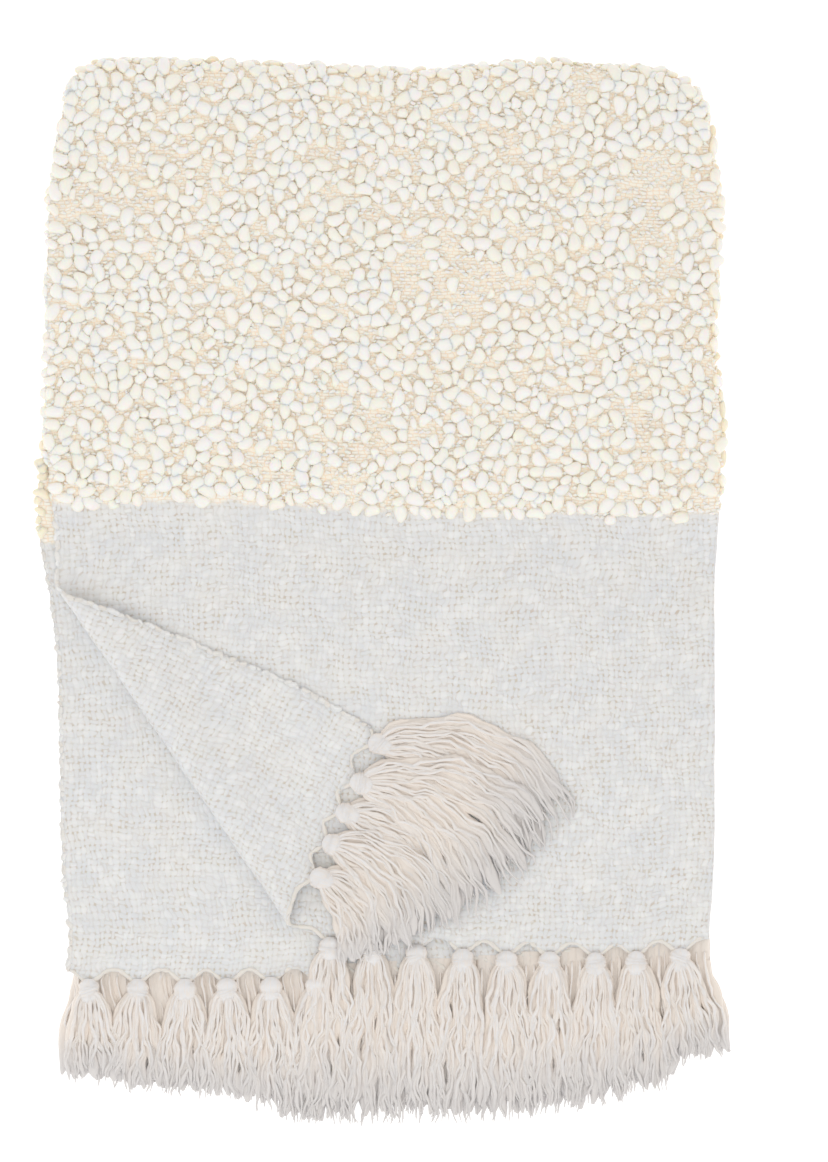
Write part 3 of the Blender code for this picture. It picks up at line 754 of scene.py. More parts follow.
class Shape(Tree):
    """A tree that makes a mesh, with short calls for its own nodes and the named values of its points."""

    def __init__(self, name, inputs, result):
        self.tree = bpy.data.node_groups.new(name, "GeometryNodeTree")
        self.inputs = {}
        for label, kind in inputs.items():
            socket = self.tree.interface.new_socket(label, in_out="INPUT", socket_type="NodeSocket" + kind)
            self.inputs[label] = socket.identifier
        self.tree.interface.new_socket(result, in_out="OUTPUT", socket_type="NodeSocketGeometry")
        self.given = self.tree.nodes.new("NodeGroupInput").outputs
        self.result = self.tree.nodes.new("NodeGroupOutput").inputs[0]

    def node(self, kind, values, **settings):
        made = self.tree.nodes.new("GeometryNode" + kind)
        for label, value in settings.items():
            setattr(made, label, value)
        for label, value in values.items():
            self.feed(made.inputs[label], value)
        return made.outputs

    def held(self, label, kind="FLOAT"):
        return self.node("InputNamedAttribute", {"Name": label}, data_type=kind)["Attribute"]

    def hold(self, geometry, label, value, kind="FLOAT", domain="POINT"):
        values = {"Geometry": geometry, "Name": label, "Value": value}
        return self.node("StoreNamedAttribute", values, data_type=kind, domain=domain)["Geometry"]

    def vector(self, operation, first, second):
        node = self.tree.nodes.new("ShaderNodeVectorMath")
        node.operation = operation
        self.feed(node.inputs[0], first)
        self.feed(node.inputs[3 if operation == "SCALE" else 1], second)
        return node.outputs[0]

    def finish(self, geometry, working):
        """Ends the tree: smooth, real faces in the given material, without the values it worked with."""
        for label in working:
            geometry = self.node("RemoveAttribute", {"Geometry": geometry, "Name": label})["Geometry"]
        geometry = self.node("SetShadeSmooth", {"Geometry": geometry})["Geometry"]
        geometry = self.node("RealizeInstances", {"Geometry": geometry})["Geometry"]
        values = {"Geometry": geometry, "Material": self.given["Material"]}
        self.feed(self.result, self.node("SetMaterial", values)["Geometry"])

    def make(self, name, points, links, values, inputs):
        """The plain mesh piece that the tree makes of these points, links and values."""
        data = bpy.data.meshes.new(name)
        data.from_pydata(points.tolist(), links.tolist(), [])
        for label, numbers in values.items():
            kind, key = ("FLOAT", "value") if numbers.ndim == 1 else ("FLOAT_VECTOR", "vector")
            held = data.attributes.new(label, kind, "POINT")
            held.data.foreach_set(key, np.asarray(numbers, dtype=np.float32).ravel())
        made = bpy.data.objects.new(name, data)
        bpy.context.scene.collection.objects.link(made)
        nodes = made.modifiers.new("shape", "NODES")
        nodes.node_group = self.tree
        for label, value in inputs.items():
            nodes[self.inputs[label]] = value
        graph = bpy.context.evaluated_depsgraph_get()
        plain_mesh = bpy.data.meshes.new_from_object(made.evaluated_get(graph))
        made.modifiers.remove(nodes)
        made.data = plain_mesh
        bpy.data.meshes.remove(data)
        plain_mesh.materials.clear()
        plain_mesh.materials.append(inputs["Material"])
        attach(made, "root")
        return made


def bean_tree():
    """Lays a tapered, bent, slightly waisted bean at each point, shaped by the values the point holds."""
    inputs = {"Points": "Geometry", "Sides": "Int", "Rings": "Int", "Lowest": "Float", "Material": "Material"}
    shape = Shape("laid_beans", inputs, "Beans")
    counts = {"Segments": shape.given["Sides"], "Rings": shape.given["Rings"]}
    ball = shape.node("MeshUVSphere", counts)["Mesh"]
    here = shape.node("InputPosition", {})["Position"]
    ball = shape.hold(ball, "unit", here, "FLOAT_VECTOR")
    spots = shape.node("MeshToPoints", {"Mesh": shape.given["Points"]})["Points"]
    beans = shape.node("InstanceOnPoints", {"Points": spots, "Instance": ball})["Instances"]
    beans = shape.node("RealizeInstances", {"Geometry": beans})["Geometry"]
    unit = shape.held("unit", "FLOAT_VECTOR")
    across, up, along = shape.parted(unit)
    length, width, height = shape.parted(shape.held("size", "FLOAT_VECTOR"))
    taper = shape.maths("MULTIPLY_ADD", shape.held("taper"), along, 1.0)
    squared = shape.times(along, along)
    waist = shape.maths("EXPONENT", shape.maths("DIVIDE", squared, -(WAIST_RUN**2)))
    waist = shape.minus(1.0, shape.times(shape.held("waist"), waist))
    girth = shape.times(taper, waist)
    bend = shape.times(shape.held("bend"), shape.minus(squared, 0.3))
    to_side = shape.maths("MULTIPLY_ADD", across, girth, bend)
    to_top = shape.times(shape.times(up, girth), 0.5)
    to_top = shape.maths("MULTIPLY_ADD", shape.held("tip"), along, to_top)
    parts = (
        ("aside", shape.times(shape.times(along, length), 0.5)),
        ("beside", shape.times(shape.times(to_side, width), 0.5)),
        ("facing", shape.times(to_top, height)),
    )
    place = shape.vector("SUBTRACT", here, unit)
    for label, reach in parts:
        place = shape.vector("ADD", place, shape.vector("SCALE", shape.held(label, "FLOAT_VECTOR"), reach))
    x, y, z = shape.parted(place)
    place = shape.joined(x, y, shape.maths("MAXIMUM", z, shape.given["Lowest"]))
    beans = shape.node("SetPosition", {"Geometry": beans, "Position": place})["Geometry"]
    beans = shape.hold(beans, "height", up)
    turn = shape.maths("DIVIDE", shape.maths("ARCTAN2", across, up), math.pi)
    flat_place = shape.vector("SCALE", shape.joined(along, turn), 0.5)
    flat_place = shape.vector("ADD", flat_place, shape.held("patch", "FLOAT_VECTOR"))
    beans = shape.hold(beans, "cloth", flat_place, "FLOAT2", "CORNER")
    working = ("unit", "aside", "beside", "facing", "size", "taper", "bend", "waist", "tip", "patch")
    shape.finish(beans, working)
    return shape


beans_laid = bean_tree()


def scatter_on(bounds, reaches, seed, keep):
    """Random places in flat metres, each at least its own reach and its neighbour's apart.

    The reaches are tried from the largest down, so that small pieces fill in between large ones.
    Gives the places that were found and the number of the reach that each one has.
    """
    source = np.random.default_rng(seed)
    low_u, high_u, low_v, high_v = bounds
    cell = 2.0 * reaches.max()
    taken = {}
    found, which = [], []
    spots = source.random((len(reaches), 2)) * (high_u - low_u, high_v - low_v) + (low_u, low_v)
    kept = keep(spots[:, 0], spots[:, 1])
    for at in np.argsort(-reaches, kind="stable"):
        if not kept[at]:
            continue
        x, y = spots[at]
        column, row = int(x // cell), int(y // cell)
        close = (
            other
            for i in (-1, 0, 1)
            for j in (-1, 0, 1)
            for other in taken.get((column + i, row + j), ())
        )
        if all((x - ox) ** 2 + (y - oy) ** 2 > (reaches[at] + reach) ** 2 for ox, oy, reach in close):
            taken.setdefault((column, row), []).append((x, y, reaches[at]))
            found.append((x, y))
            which.append(at)
    return np.array(found), np.array(which)


def to_grid(flat_u, flat_v):
    """Grid places of flat metres on the cloth."""
    side = np.abs(flat_u) / SIDE_TURN
    end = np.abs(flat_v) / END_TURN
    far_u = beyond_fold((np.abs(flat_u) - SIDE_TURN) / NUB_PANEL_WIDTH)
    far_v = beyond_fold((np.abs(flat_v) - END_TURN) / PANEL_LENGTH)
    u = np.where(side < 1.0, FOLD * np.sin(np.minimum(side, 1.0) * math.pi / 2.0), far_u)
    v = np.where(end < 1.0, FOLD * end, far_v)
    return np.sign(flat_u) * u, np.sign(flat_v) * v


def in_band(flat_u, flat_v):
    """True where the nubby weave reaches, with its uneven last row."""
    ragged = 0.012 * (value_noise(4, 0.022, flat_u, flat_u * 0.0) - 0.5)
    return np.abs(flat_v) < BAND_HALF + 0.004 * np.sin(9.0 * flat_u) + ragged


def in_drifts(flat_u, flat_v):
    """Where the big nubs crowd together: most of the band, with thinner patches between."""
    big = value_noise(11, 0.060, flat_u, flat_v * 1.2)
    small = value_noise(12, 0.024, flat_u, flat_v)
    single = value_noise(13, 0.006, flat_u, flat_v)
    return in_band(flat_u, flat_v) & (big * 0.42 + small * 0.33 + single * 0.25 > 0.37)


def along_edges(source, first, length, step, uneven, at, stray):
    """Flat places along the free edges of the cloth, on both sides of the cross fold."""
    found = []
    for side in (-1.0, 1.0):
        for end in (-1.0, 1.0):
            count = int(length / step)
            rows = first + (np.arange(count) + source.uniform(*uneven, count)) * step
            beside = at + source.uniform(*stray, count)
            found.append(np.stack((side * beside, end * rows), axis=-1))
    return np.concatenate(found)


def lay_beans(name, spots, size, lift, seed, shape, material, along=None):
    """Beans at flat places on the outer side of the cloth, joined in one piece.

    size holds each bean's length, width and height, lift is how far its middle is off the cloth, and
    shape is the number of sides and rings of each bean.
    """
    source = np.random.default_rng(seed)
    count = len(spots)
    length, width, height = size
    u, v = to_grid(spots[:, 0], spots[:, 1])
    base, face, nubby_here = sheet(u, v)
    ground = (PLAIN_SHOWN + (GROUND_THICK - PLAIN_SHOWN) * nubby_here) / 2.0
    centre = base + face * (ground + lift)[:, None]
    heading = source.normal(size=(count, 3)) if along is None else along
    aside = np.cross(face, np.cross(heading, face))
    aside = aside / np.linalg.norm(aside, axis=1, keepdims=True)
    numbers = {
        "aside": aside,
        "beside": np.cross(face, aside),
        "facing": face,
        "size": np.stack((length, width, height), axis=-1),
        "taper": source.uniform(-0.25, 0.25, count),
        "bend": source.uniform(-0.5, 0.5, count),
        "waist": source.uniform(0.0, 0.20, count),
        "tip": source.uniform(-0.25, 0.25, count),
        "shade": source.random(count),
        "patch": np.concatenate((source.random((count, 2)) * 40.0, np.zeros((count, 1))), axis=1),
    }
    inputs = {"Sides": shape[0], "Rings": shape[1], "Lowest": LOWEST, "Material": material}
    laid = beans_laid.make(name, rounded(centre), np.zeros((0, 2), dtype=int), numbers, inputs)
    return laid


def nub_sizes(count, seed, scale=1.0):
    source = np.random.default_rng(seed)
    length = NUB_LENGTH * np.exp(source.normal(0.0, NUB_LENGTH_SPREAD, count))
    length = np.clip(length, NUB_SHORTEST, NUB_LONGEST) * scale
    width = length * source.uniform(*NUB_WIDTH_SHARE, count)
    width = np.clip(width, NUB_NARROWEST, NUB_WIDEST * scale)
    return length, width, np.minimum(width * 0.86, NUB_HIGHEST)


def reach_of(size):
    """How near a neighbour may come: part of the bean's half length and half width."""
    return 0.5 * NUB_CLOSENESS * (0.45 * size[0] + 0.55 * size[1])


wool = Shader("nub_wool", 0.75, 0.35, 0.6)
wool_uv = wool.uv()
combed = wool.noise(wool.scaled(wool_uv, (3.0, 26.0, 1.0)), 1.0, 3.0)
tone = wool.attribute("shade")
wool_colour = wool.mix(wool.ramp(tone, 0.0, 0.9), (0.955, 0.925, 0.845, 1.0), (0.965, 0.955, 0.925, 1.0))
# Painted shade: each bean's lower sides, down towards the cloth, turn warm tan as the shade in the crevices
# between the nubs.
deep = wool.ramp(wool.attribute("height"), -0.20, 0.78)
wool.colour(wool.mix(deep, (1.0, 0.87, 0.69, 1.0), wool_colour))
wool.bump(combed, 0.0005, 0.6)

big_shape = (10, 7)
rim_shape = (8, 6)
flat_shape = (8, 5)
small_shape = (5, 4)
tried = nub_sizes(TOP_TRIES, 30)
top_spots, which = scatter_on(TOP_BOUNDS, reach_of(tried), 21, in_drifts)
top_sizes = [part[which] for part in tried]
near_fold = top_spots[:, 0] < TOP_HALVES_AT
for name, half in (("nubs_top_right", near_fold), ("nubs_top_left", ~near_fold)):
    size = [part[half] for part in top_sizes]
    lay_beans(name, top_spots[half], size, size[2] * 0.22, 31, big_shape, wool.material)

tried = nub_sizes(UNDER_TRIES, 33)
under_spots, which = scatter_on(UNDER_BOUNDS, reach_of(tried) * 1.08, 23, in_drifts)
size = [part[which] for part in tried]
lay_beans("nubs_underside", under_spots, size, size[2] * 0.0, 33, flat_shape, wool.material)

source = np.random.default_rng(6)
rim_spots = along_edges(source, 0.0, BAND_HALF, RIM_STEP, (0.2, 0.8), RIM_AT, (-0.003, 0.0015))
rim_spots = rim_spots[in_band(rim_spots[:, 0], rim_spots[:, 1])]
size = nub_sizes(len(rim_spots), 34, 0.88)
lift = source.uniform(-0.0056, -0.0026, len(rim_spots))
lay_beans("nubs_rims", rim_spots, size, lift, 34, rim_shape, wool.material)

for name, bounds, seed, nubs, clear, reach in (
    ("crumbs_top", TOP_BOUNDS, 24, top_spots, 0.0044, 0.0023),
    ("crumbs_underside", UNDER_BOUNDS, 25, under_spots, 0.0060, 0.0030),
):
    spots, _ = scatter_on(bounds, np.full(CRUMB_TRIES, reach), seed, in_band)
    spots[:, 1] = np.round(spots[:, 1] / CRUMB_ROW) * CRUMB_ROW
    nearest = np.array([np.min(np.hypot(nubs[:, 0] - spot[0], nubs[:, 1] - spot[1])) for spot in spots])
    spots = spots[nearest > clear]
    source = np.random.default_rng(seed + 10)
    width = source.uniform(*CRUMB_SIZE, len(spots))
    heading = np.tile((1.0, 0.0, 0.0), (len(spots), 1)) + source.normal(0.0, 0.35, (len(spots), 3))
    size = (width * 1.55, width, width * 0.85)
    lay_beans(name, spots, size, width * 0.25, seed + 10, small_shape, wool.material, heading)


# The edges of the plain ends: the weft turns back at each selvedge in small uneven loops, and the
# last rows of the weave roll over softly between the knots. Made as small beans of the same
# off-white wool along each free edge, and as a soft roll along each end.
EDGE_LOOP_STEP = 0.0056
EDGE_AT = 0.6188
EDGE_FROM = 0.434
EDGE_LENGTH = 0.412
END_ROLL_RADIUS = 0.0021
END_ROLL_STEP = 0.0035
TUBE_SIDES = (3, 4, 5, 6, 8, 10)


def tube_tree():
    """Skins paths with rings, as wide and as tall at each point as the values that the point holds."""
    shape = Shape("skinned_paths", {"Paths": "Geometry", "Material": "Material"}, "Tubes")
    here = shape.node("InputPosition", {})["Position"]
    number = shape.node("InputIndex", {})["Index"]
    paths = shape.hold(shape.given["Paths"], "spine", here, "FLOAT_VECTOR")
    all_tubes = shape.tree.nodes.new("GeometryNodeJoinGeometry")
    for sides in TUBE_SIDES:
        ring = shape.node("CurvePrimitiveCircle", {"Resolution": sides})["Curve"]
        ring = shape.hold(ring, "ring", here, "FLOAT_VECTOR")
        ring = shape.hold(ring, "part", shape.maths("DIVIDE", number, float(sides)))
        mine = shape.maths("COMPARE", shape.held("sides"), float(sides), 0.5)
        curve = shape.node("MeshToCurve", {"Mesh": paths, "Selection": mine})["Curve"]
        values = {"Curve": curve, "Profile Curve": ring, "Fill Caps": True}
        shape.tree.links.new(shape.node("CurveToMesh", values)["Mesh"], all_tubes.inputs[0])
    x, y, _ = shape.parted(shape.held("ring", "FLOAT_VECTOR"))
    tall = shape.held("tall")
    wide_part = shape.times(x, shape.held("girth"))
    tall_part = shape.times(y, tall)
    out = shape.vector("SCALE", shape.held("aside", "FLOAT_VECTOR"), wide_part)
    out = shape.vector("ADD", out, shape.vector("SCALE", shape.held("above", "FLOAT_VECTOR"), tall_part))
    place = shape.vector("ADD", shape.held("spine", "FLOAT_VECTOR"), out)
    made = shape.node("SetPosition", {"Geometry": all_tubes.outputs[0], "Position": place})["Geometry"]
    made = shape.node("FlipFaces", {"Mesh": made})["Mesh"]
    made = shape.hold(made, "upward", shape.maths("DIVIDE", shape.parted(out)[2], tall))
    around = shape.times(shape.held("part"), shape.held("wrap"))
    made = shape.hold(made, "cloth", shape.joined(shape.held("run"), around), "FLOAT2", "CORNER")
    shape.finish(made, ("spine", "ring", "part", "sides", "aside", "above", "girth", "tall", "run", "wrap"))
    return shape


paths_skinned = tube_tree()


class Bundle:
    """Gathers the paths of one piece, which are then skinned together."""

    def __init__(self):
        self.points, self.links, self.total = [], [], 0
        self.values = {}

    def add(self, paths, radii, sides, tone, gone, squash=None):
        """Adds paths of equal length, round or flattened by squash."""
        count, steps, _ = paths.shape
        run = np.gradient(paths, axis=1)
        run = run / np.linalg.norm(run, axis=2, keepdims=True)
        aside = np.cross(run[:, 0], UP + 0.01)
        turned_aside = []
        for step in range(steps):
            aside = aside - run[:, step] * np.sum(aside * run[:, step], axis=1, keepdims=True)
            aside = aside / np.linalg.norm(aside, axis=1, keepdims=True)
            turned_aside.append(aside)
        aside = np.stack(turned_aside, axis=1)
        walked = np.cumsum(np.linalg.norm(np.diff(paths, axis=1), axis=2), axis=1)
        reach = np.concatenate((np.zeros((count, 1)), walked), axis=1) + 0.37 * np.arange(count)[:, None]
        numbers = {
            "aside": aside,
            "above": np.cross(aside, run),
            "girth": radii,
            "tall": radii if squash is None else radii * squash,
            "sides": np.full((count, steps), float(sides)),
            "tone": np.broadcast_to(np.asarray(tone)[:, None], (count, steps)),
            "gone": gone,
            "run": reach,
            "wrap": np.broadcast_to(radii.mean(axis=1, keepdims=True) / 0.0015, (count, steps)),
        }
        for label, held in numbers.items():
            flat_held = np.asarray(held).reshape((count * steps,) + np.shape(held)[2:])
            self.values.setdefault(label, []).append(flat_held)
        index = np.arange(count * steps).reshape(count, steps) + self.total
        self.points.append(paths.reshape(-1, 3))
        self.links.append(np.stack((index[:, :-1], index[:, 1:]), axis=-1).reshape(-1, 2))
        self.total += count * steps

    def piece(self, name, material):
        values = {label: np.concatenate(held) for label, held in self.values.items()}
        points, links = np.concatenate(self.points), np.concatenate(self.links)
        made = paths_skinned.make(name, points, links, values, {"Material": material})
        return made


selvedge = Shader("selvedge_wool", 0.88, 0.3, 0.1)
selvedge_uv = selvedge.uv()
edge_fibre = selvedge.noise(selvedge.scaled(selvedge_uv, (5.0, 22.0, 1.0)), 1.0, 3.0)
edge_tone = selvedge.ramp(selvedge.attribute("shade"), 0.0, 1.0)
selvedge.colour(selvedge.mix(edge_tone, (0.80, 0.765, 0.72, 1.0), BRIGHT_YARN))
selvedge.bump(edge_fibre, 0.0006, 0.8)

source = np.random.default_rng(8)
edges_at = (EDGE_FROM, EDGE_LENGTH, EDGE_LOOP_STEP)
loop_spots = along_edges(source, *edges_at, (0.1, 0.9), EDGE_AT, (-0.0008, 0.0008))
count = len(loop_spots)
width = source.uniform(0.0042, 0.0066, count)
size = (width * source.uniform(1.4, 2.1, count), width, width * 0.85)
on_cloth = sheet(*to_grid(loop_spots[:, 0], loop_spots[:, 1]))[0]
ahead = sheet(*to_grid(loop_spots[:, 0], loop_spots[:, 1] + 0.002))[0]
heading = ahead - on_cloth
heading = heading / np.linalg.norm(heading, axis=1, keepdims=True) + source.normal(0.0, 0.25, (count, 3))
lay_beans("plain_edges", loop_spots, size, np.full(count, -0.0013), 41, rim_shape, selvedge.material, heading)

rolls = Bundle()
for layer, outer, front in LAYER_SIDES:
    share = np.linspace(0.004, 0.996, int(end_width(layer) / END_ROLL_STEP))
    roll_u = (1.0 if outer else -1.0) * beyond_fold(1.0 - share)
    reach = 1.0 + scallop(layer, share * end_width(layer)) * SCALLOP / LAYER_LENGTH
    roll_v = (-1.0 if front else 1.0) * reach * 0.9985
    path = sheet(roll_u, roll_v)[0]
    path[:, 2] = np.maximum(path[:, 2], END_ROLL_RADIUS * 1.35 + LOWEST)
    thick = END_ROLL_RADIUS * source.uniform(0.70, 1.35, len(path))
    rolls.add(path[None], thick[None], 6, np.array((0.5,)), np.zeros((1, len(path))))
rolls.piece("end_rolls", selvedge.material)


# The fringe: the cloth's own warp ends, drawn together in bunches, each tied in one overhand knot.
# Every bunch is a few flat locks of matted wool with soft, wavy, loosely plied yarns on them and
# finer hairs between. The turned-back corner's bunches fan out over the top layer.

# How many locks, yarns and hairs a bunch has. Then for each kind of strand: its steps where it
# is seen and where it is hidden, its waviness and its share of the spread. Then sizes.
SEEN_COUNTS = (7, 24, 12)
HIDDEN_COUNTS = (6, 6, 0)
CORNER_COUNTS = (9, 26, 22)
CORNER_WIDENING = 2.3
STRAND_KINDS = {"lock": (24, 24, 0.8, 1.0), "yarn": (30, 20, 1.1, 1.0), "hair": (20, 20, 1.9, 1.2)}
STRIP_PART = 0.00035
STRIP_WIDTH = 0.007
KNOT_AT = 0.0065
LOCK_HALF_HEIGHT = 0.0019
LOCK_WIDEST = 0.0074
LOCK_TIED = 0.0026
YARN_RADIUS = 0.00150
HAIR_RADIUS = 0.00032
KNOTTED_START = -0.0038
HIDDEN_START = -0.0140
KNOT_HALF_WIDTH = 0.0078
KNOT_FULLNESS = 1.1
KNOT_TURNS = 3
LEVEL_AT_KNOTS = 0.0062
LEVEL_AT_TIPS = 0.0036
SETTLE_FROM = -0.385
SETTLE_RUN = 0.130

# How far the tips of the straight fringe reach, from left to right.
REACH_COLUMNS = ("x", "y")
REACH_ROWS = np.array((
    (-0.300, -0.442),
    (-0.278, -0.470),
    (-0.200, -0.480),
    (-0.130, -0.487),
    (-0.047, -0.512),
    (0.010, -0.504),
    (0.117, -0.503),
    (0.205, -0.492),
    (0.247, -0.474),
    (0.283, -0.452),
    (0.301, -0.425),
))


def strip_place(layer, along, depth):
    """A place beyond a layer's end, this far from its free edge and this deep past the cloth."""
    x, y = plan(layer, along / end_width(layer), 1.0)
    x, y = np.asarray(x), np.asarray(y - depth)
    if layer == "top":
        return turned(x, y)[0]
    return np.stack((x, y, level(layer, x, y)), axis=-1)


def strand_floor(layer, y):
    sunk = np.clip((SETTLE_FROM - y) / SETTLE_RUN, 0.0, 1.0)
    return (LEVEL_AT_KNOTS + (LEVEL_AT_TIPS - LEVEL_AT_KNOTS) * sunk) * (3 - LAYERS.index(layer))


def corner_floor(x, y, over):
    clear = 0.0006 + 0.0052 * ease((-0.255 - y) / 0.040)
    return level("top", x, y) + PLAIN_THICK / 2.0 + clear + over * 0.0034


def direction(angle):
    return np.stack((np.cos(angle), np.sin(angle)), axis=-1)


def grow(bundle, root, outward, headings, length, spread, floor, source, counts, knotted=True, drift=0.0):
    """Adds one bunch: its locks, yarns and hairs, as many as counts says, and its knot if it has one.

    drift moves a bunch sideways below its knot. A bunch without a knot starts at full width and is
    made more simply, because the bunches above hide it.
    """
    locks, yarns, hairs = counts
    lock_off = (np.arange(locks) + 0.5 + source.uniform(-0.2, 0.2, locks)) / locks - 0.5
    lock_phase = 2.0 * math.pi * source.random((locks, 2))
    lock_length = source.uniform(0.88, 1.0, locks)
    full = spread * length
    for kind, number in (("lock", locks), ("yarn", yarns), ("hair", hairs)):
        if not number:
            continue
        seen_steps, hidden_steps, loose, fanned = STRAND_KINDS[kind]
        steps = seen_steps if knotted else hidden_steps

        # Where each strand lies across the bunch, which lock it follows, and how far it reaches.
        off = (source.permutation(number) + 0.5) / number - 0.5
        if kind == "lock":
            off = lock_off
        lock = np.clip(((off + 0.5) * locks).astype(int), 0, locks - 1)
        fan_off = 0.55 * lock_off[lock] + 0.45 * off + source.normal(0.0, 0.03, number) * (kind != "lock")
        ends = {
            "lock": length * lock_length * 0.97,
            "yarn": length * (1.0 - 0.20 * source.random(number) ** 1.7),
            "hair": length * source.uniform(0.30, 1.02, number),
        }[kind]
        before = np.array((KNOTTED_START if knotted else HIDDEN_START, -0.0019, 0.0, 0.0025, KNOT_AT))
        shares = (np.arange(1, steps - 4) / (steps - 5)) ** 1.12
        beyond = KNOT_AT + (ends[:, None] - KNOT_AT) * shares[None]
        at = np.concatenate((np.broadcast_to(before, (number, 5)), beyond), axis=1)
        free = np.clip(at - KNOT_AT, 0.0, None)
        share = free / (length - KNOT_AT)

        # Where it runs: straight out of the cloth to the knot, then fanned and turned to its end.
        fan = fan_off * spread * fanned
        heading = headings[0] + (headings[1] - headings[0]) * share
        heading = heading + fan[:, None] * np.clip(share * 4.0, 0.0, 1.0) * (1.10 - 0.55 * share)
        heading = np.where(at <= KNOT_AT, outward, heading)
        middle_heading = (heading[:, 1:] + heading[:, :-1]) / 2.0
        walked = np.cumsum(direction(middle_heading) * np.diff(at, axis=1)[..., None], axis=1)
        start = root[:2] + direction(np.array(outward)) * before[0]
        place = np.concatenate((np.broadcast_to(start, (number, 1, 2)), start + walked), axis=1)
        aside = direction(heading + math.pi / 2.0)

        # How far it lies to the side: drawn in at the knot, full below it, and in slow waves.
        gather = ease((KNOT_AT - at) / 0.009)
        tied = off[:, None] * 0.004 * gather + off[:, None] * 0.008
        tied = tied + (fan_off * 0.024)[:, None] * (1.0 - np.exp(-free / 0.008))
        beside = tied if knotted else off[:, None] * 1.04 * full
        beside = beside + drift * (1.0 - np.exp(-free / 0.02))
        sway = np.clip(free / 0.045, 0.0, 1.0)
        wide = source.uniform(0.6, 1.25, (number, 1)) * loose
        own = 2.0 * math.pi * source.random((number, 3))
        shared = lock_phase[lock]
        curl = 0.0022 * np.sin(free * 2.0 * math.pi / 0.061 + shared[:, :1] + 0.25 * own[:, :1])
        curl = curl + 0.0011 * np.sin(free * 2.0 * math.pi / 0.031 + shared[:, 1:] + 0.6 * own[:, 1:2])
        if kind != "lock":
            curl = curl + 0.0006 * np.sin(free * 2.0 * math.pi / 0.0165 + own[:, 2:3])
        place = place + aside * (beside + curl * sway * wide)[..., None]

        # How thick and high it is: locks lie flat and taper late, yarns and hairs lie on them.
        gone = share * length / ends[:, None]
        low = floor(place[..., 0], place[..., 1], at)
        if kind == "lock":
            bloom = 1.0 - np.exp(-free / 0.012) if knotted else np.ones_like(free)
            half = LOCK_TIED + (min(full / locks * 0.88, LOCK_WIDEST) - LOCK_TIED) * bloom
            swell = 0.16 * np.sin(free * 90.0 + own[:, :1])
            swell = swell + 0.10 * np.sin(free * 210.0 + own[:, 1:2])
            half = half * (1.0 + swell)
            thick = half * (1.0 - 0.80 * np.clip((gone - 0.86) / 0.14, 0.0, 1.0) ** 1.8)
            tall = LOCK_HALF_HEIGHT * (0.5 + 0.5 * thick / half)
            tall = tall * (1.0 + 0.15 * np.sin(free * 130.0 + own[:, 2:3]))
            height = low + tall
            sides, squash = 8, tall / thick
            # Locks lie lowest in the pile, so their tone is low: the fringe wool paints them in the warm
            # shade of the pile's bottom, with a random spread.
            tone = 0.20 + 0.25 * source.random(number)
        else:
            radius = YARN_RADIUS if kind == "yarn" else HAIR_RADIUS
            radius = radius * source.uniform(0.75, 1.25, (number, 1))
            slub = 1.0 + 0.22 * np.sin(free * 150.0 + own[:, 1:2]) + 0.12 * np.sin(free * 400.0 + own[:, :1])
            thick = radius * slub * (1.0 - 0.70 * np.clip((gone - 0.84) / 0.16, 0.0, 1.0) ** 2)
            stack = source.random((number, 1))
            lift = LOCK_HALF_HEIGHT * 1.55 * np.clip(2.4 - 1.7 * gone, 0.0, 1.0)
            lift = lift + stack * (0.0034 * np.exp(-free / 0.045) + 0.0010)
            lift = np.maximum(lift + 0.0004 * np.sin(free * 170.0 + own[:, :1]), 0.0)
            height = low + thick * 0.4 + lift
            sides, squash = (5 if knotted else 4) if kind == "yarn" else 3, None
            # The tone rises with how high the strand lies in the pile, partly at random; the fringe wool
            # paints low tones in warm shade.
            tone = (0.30 + stack * 0.40 + 0.18 * source.random((number, 1))).ravel()

        # Behind the knot it sinks to the middle of the cloth's end.
        joined = ease((0.004 - at) / 0.007)
        height = height * (1.0 - joined) + root[2] * joined
        thick = thick * (1.0 - 0.45 * joined * knotted)
        height = np.maximum(height, (thick if squash is None else thick * squash) + LOWEST)
        path = np.concatenate((place, height[..., None]), axis=2)
        bundle.add(path, thick, sides, tone, np.clip(gone, 0.0, 1.0), squash)
    if knotted:
        tie(bundle, root, outward, floor, source)


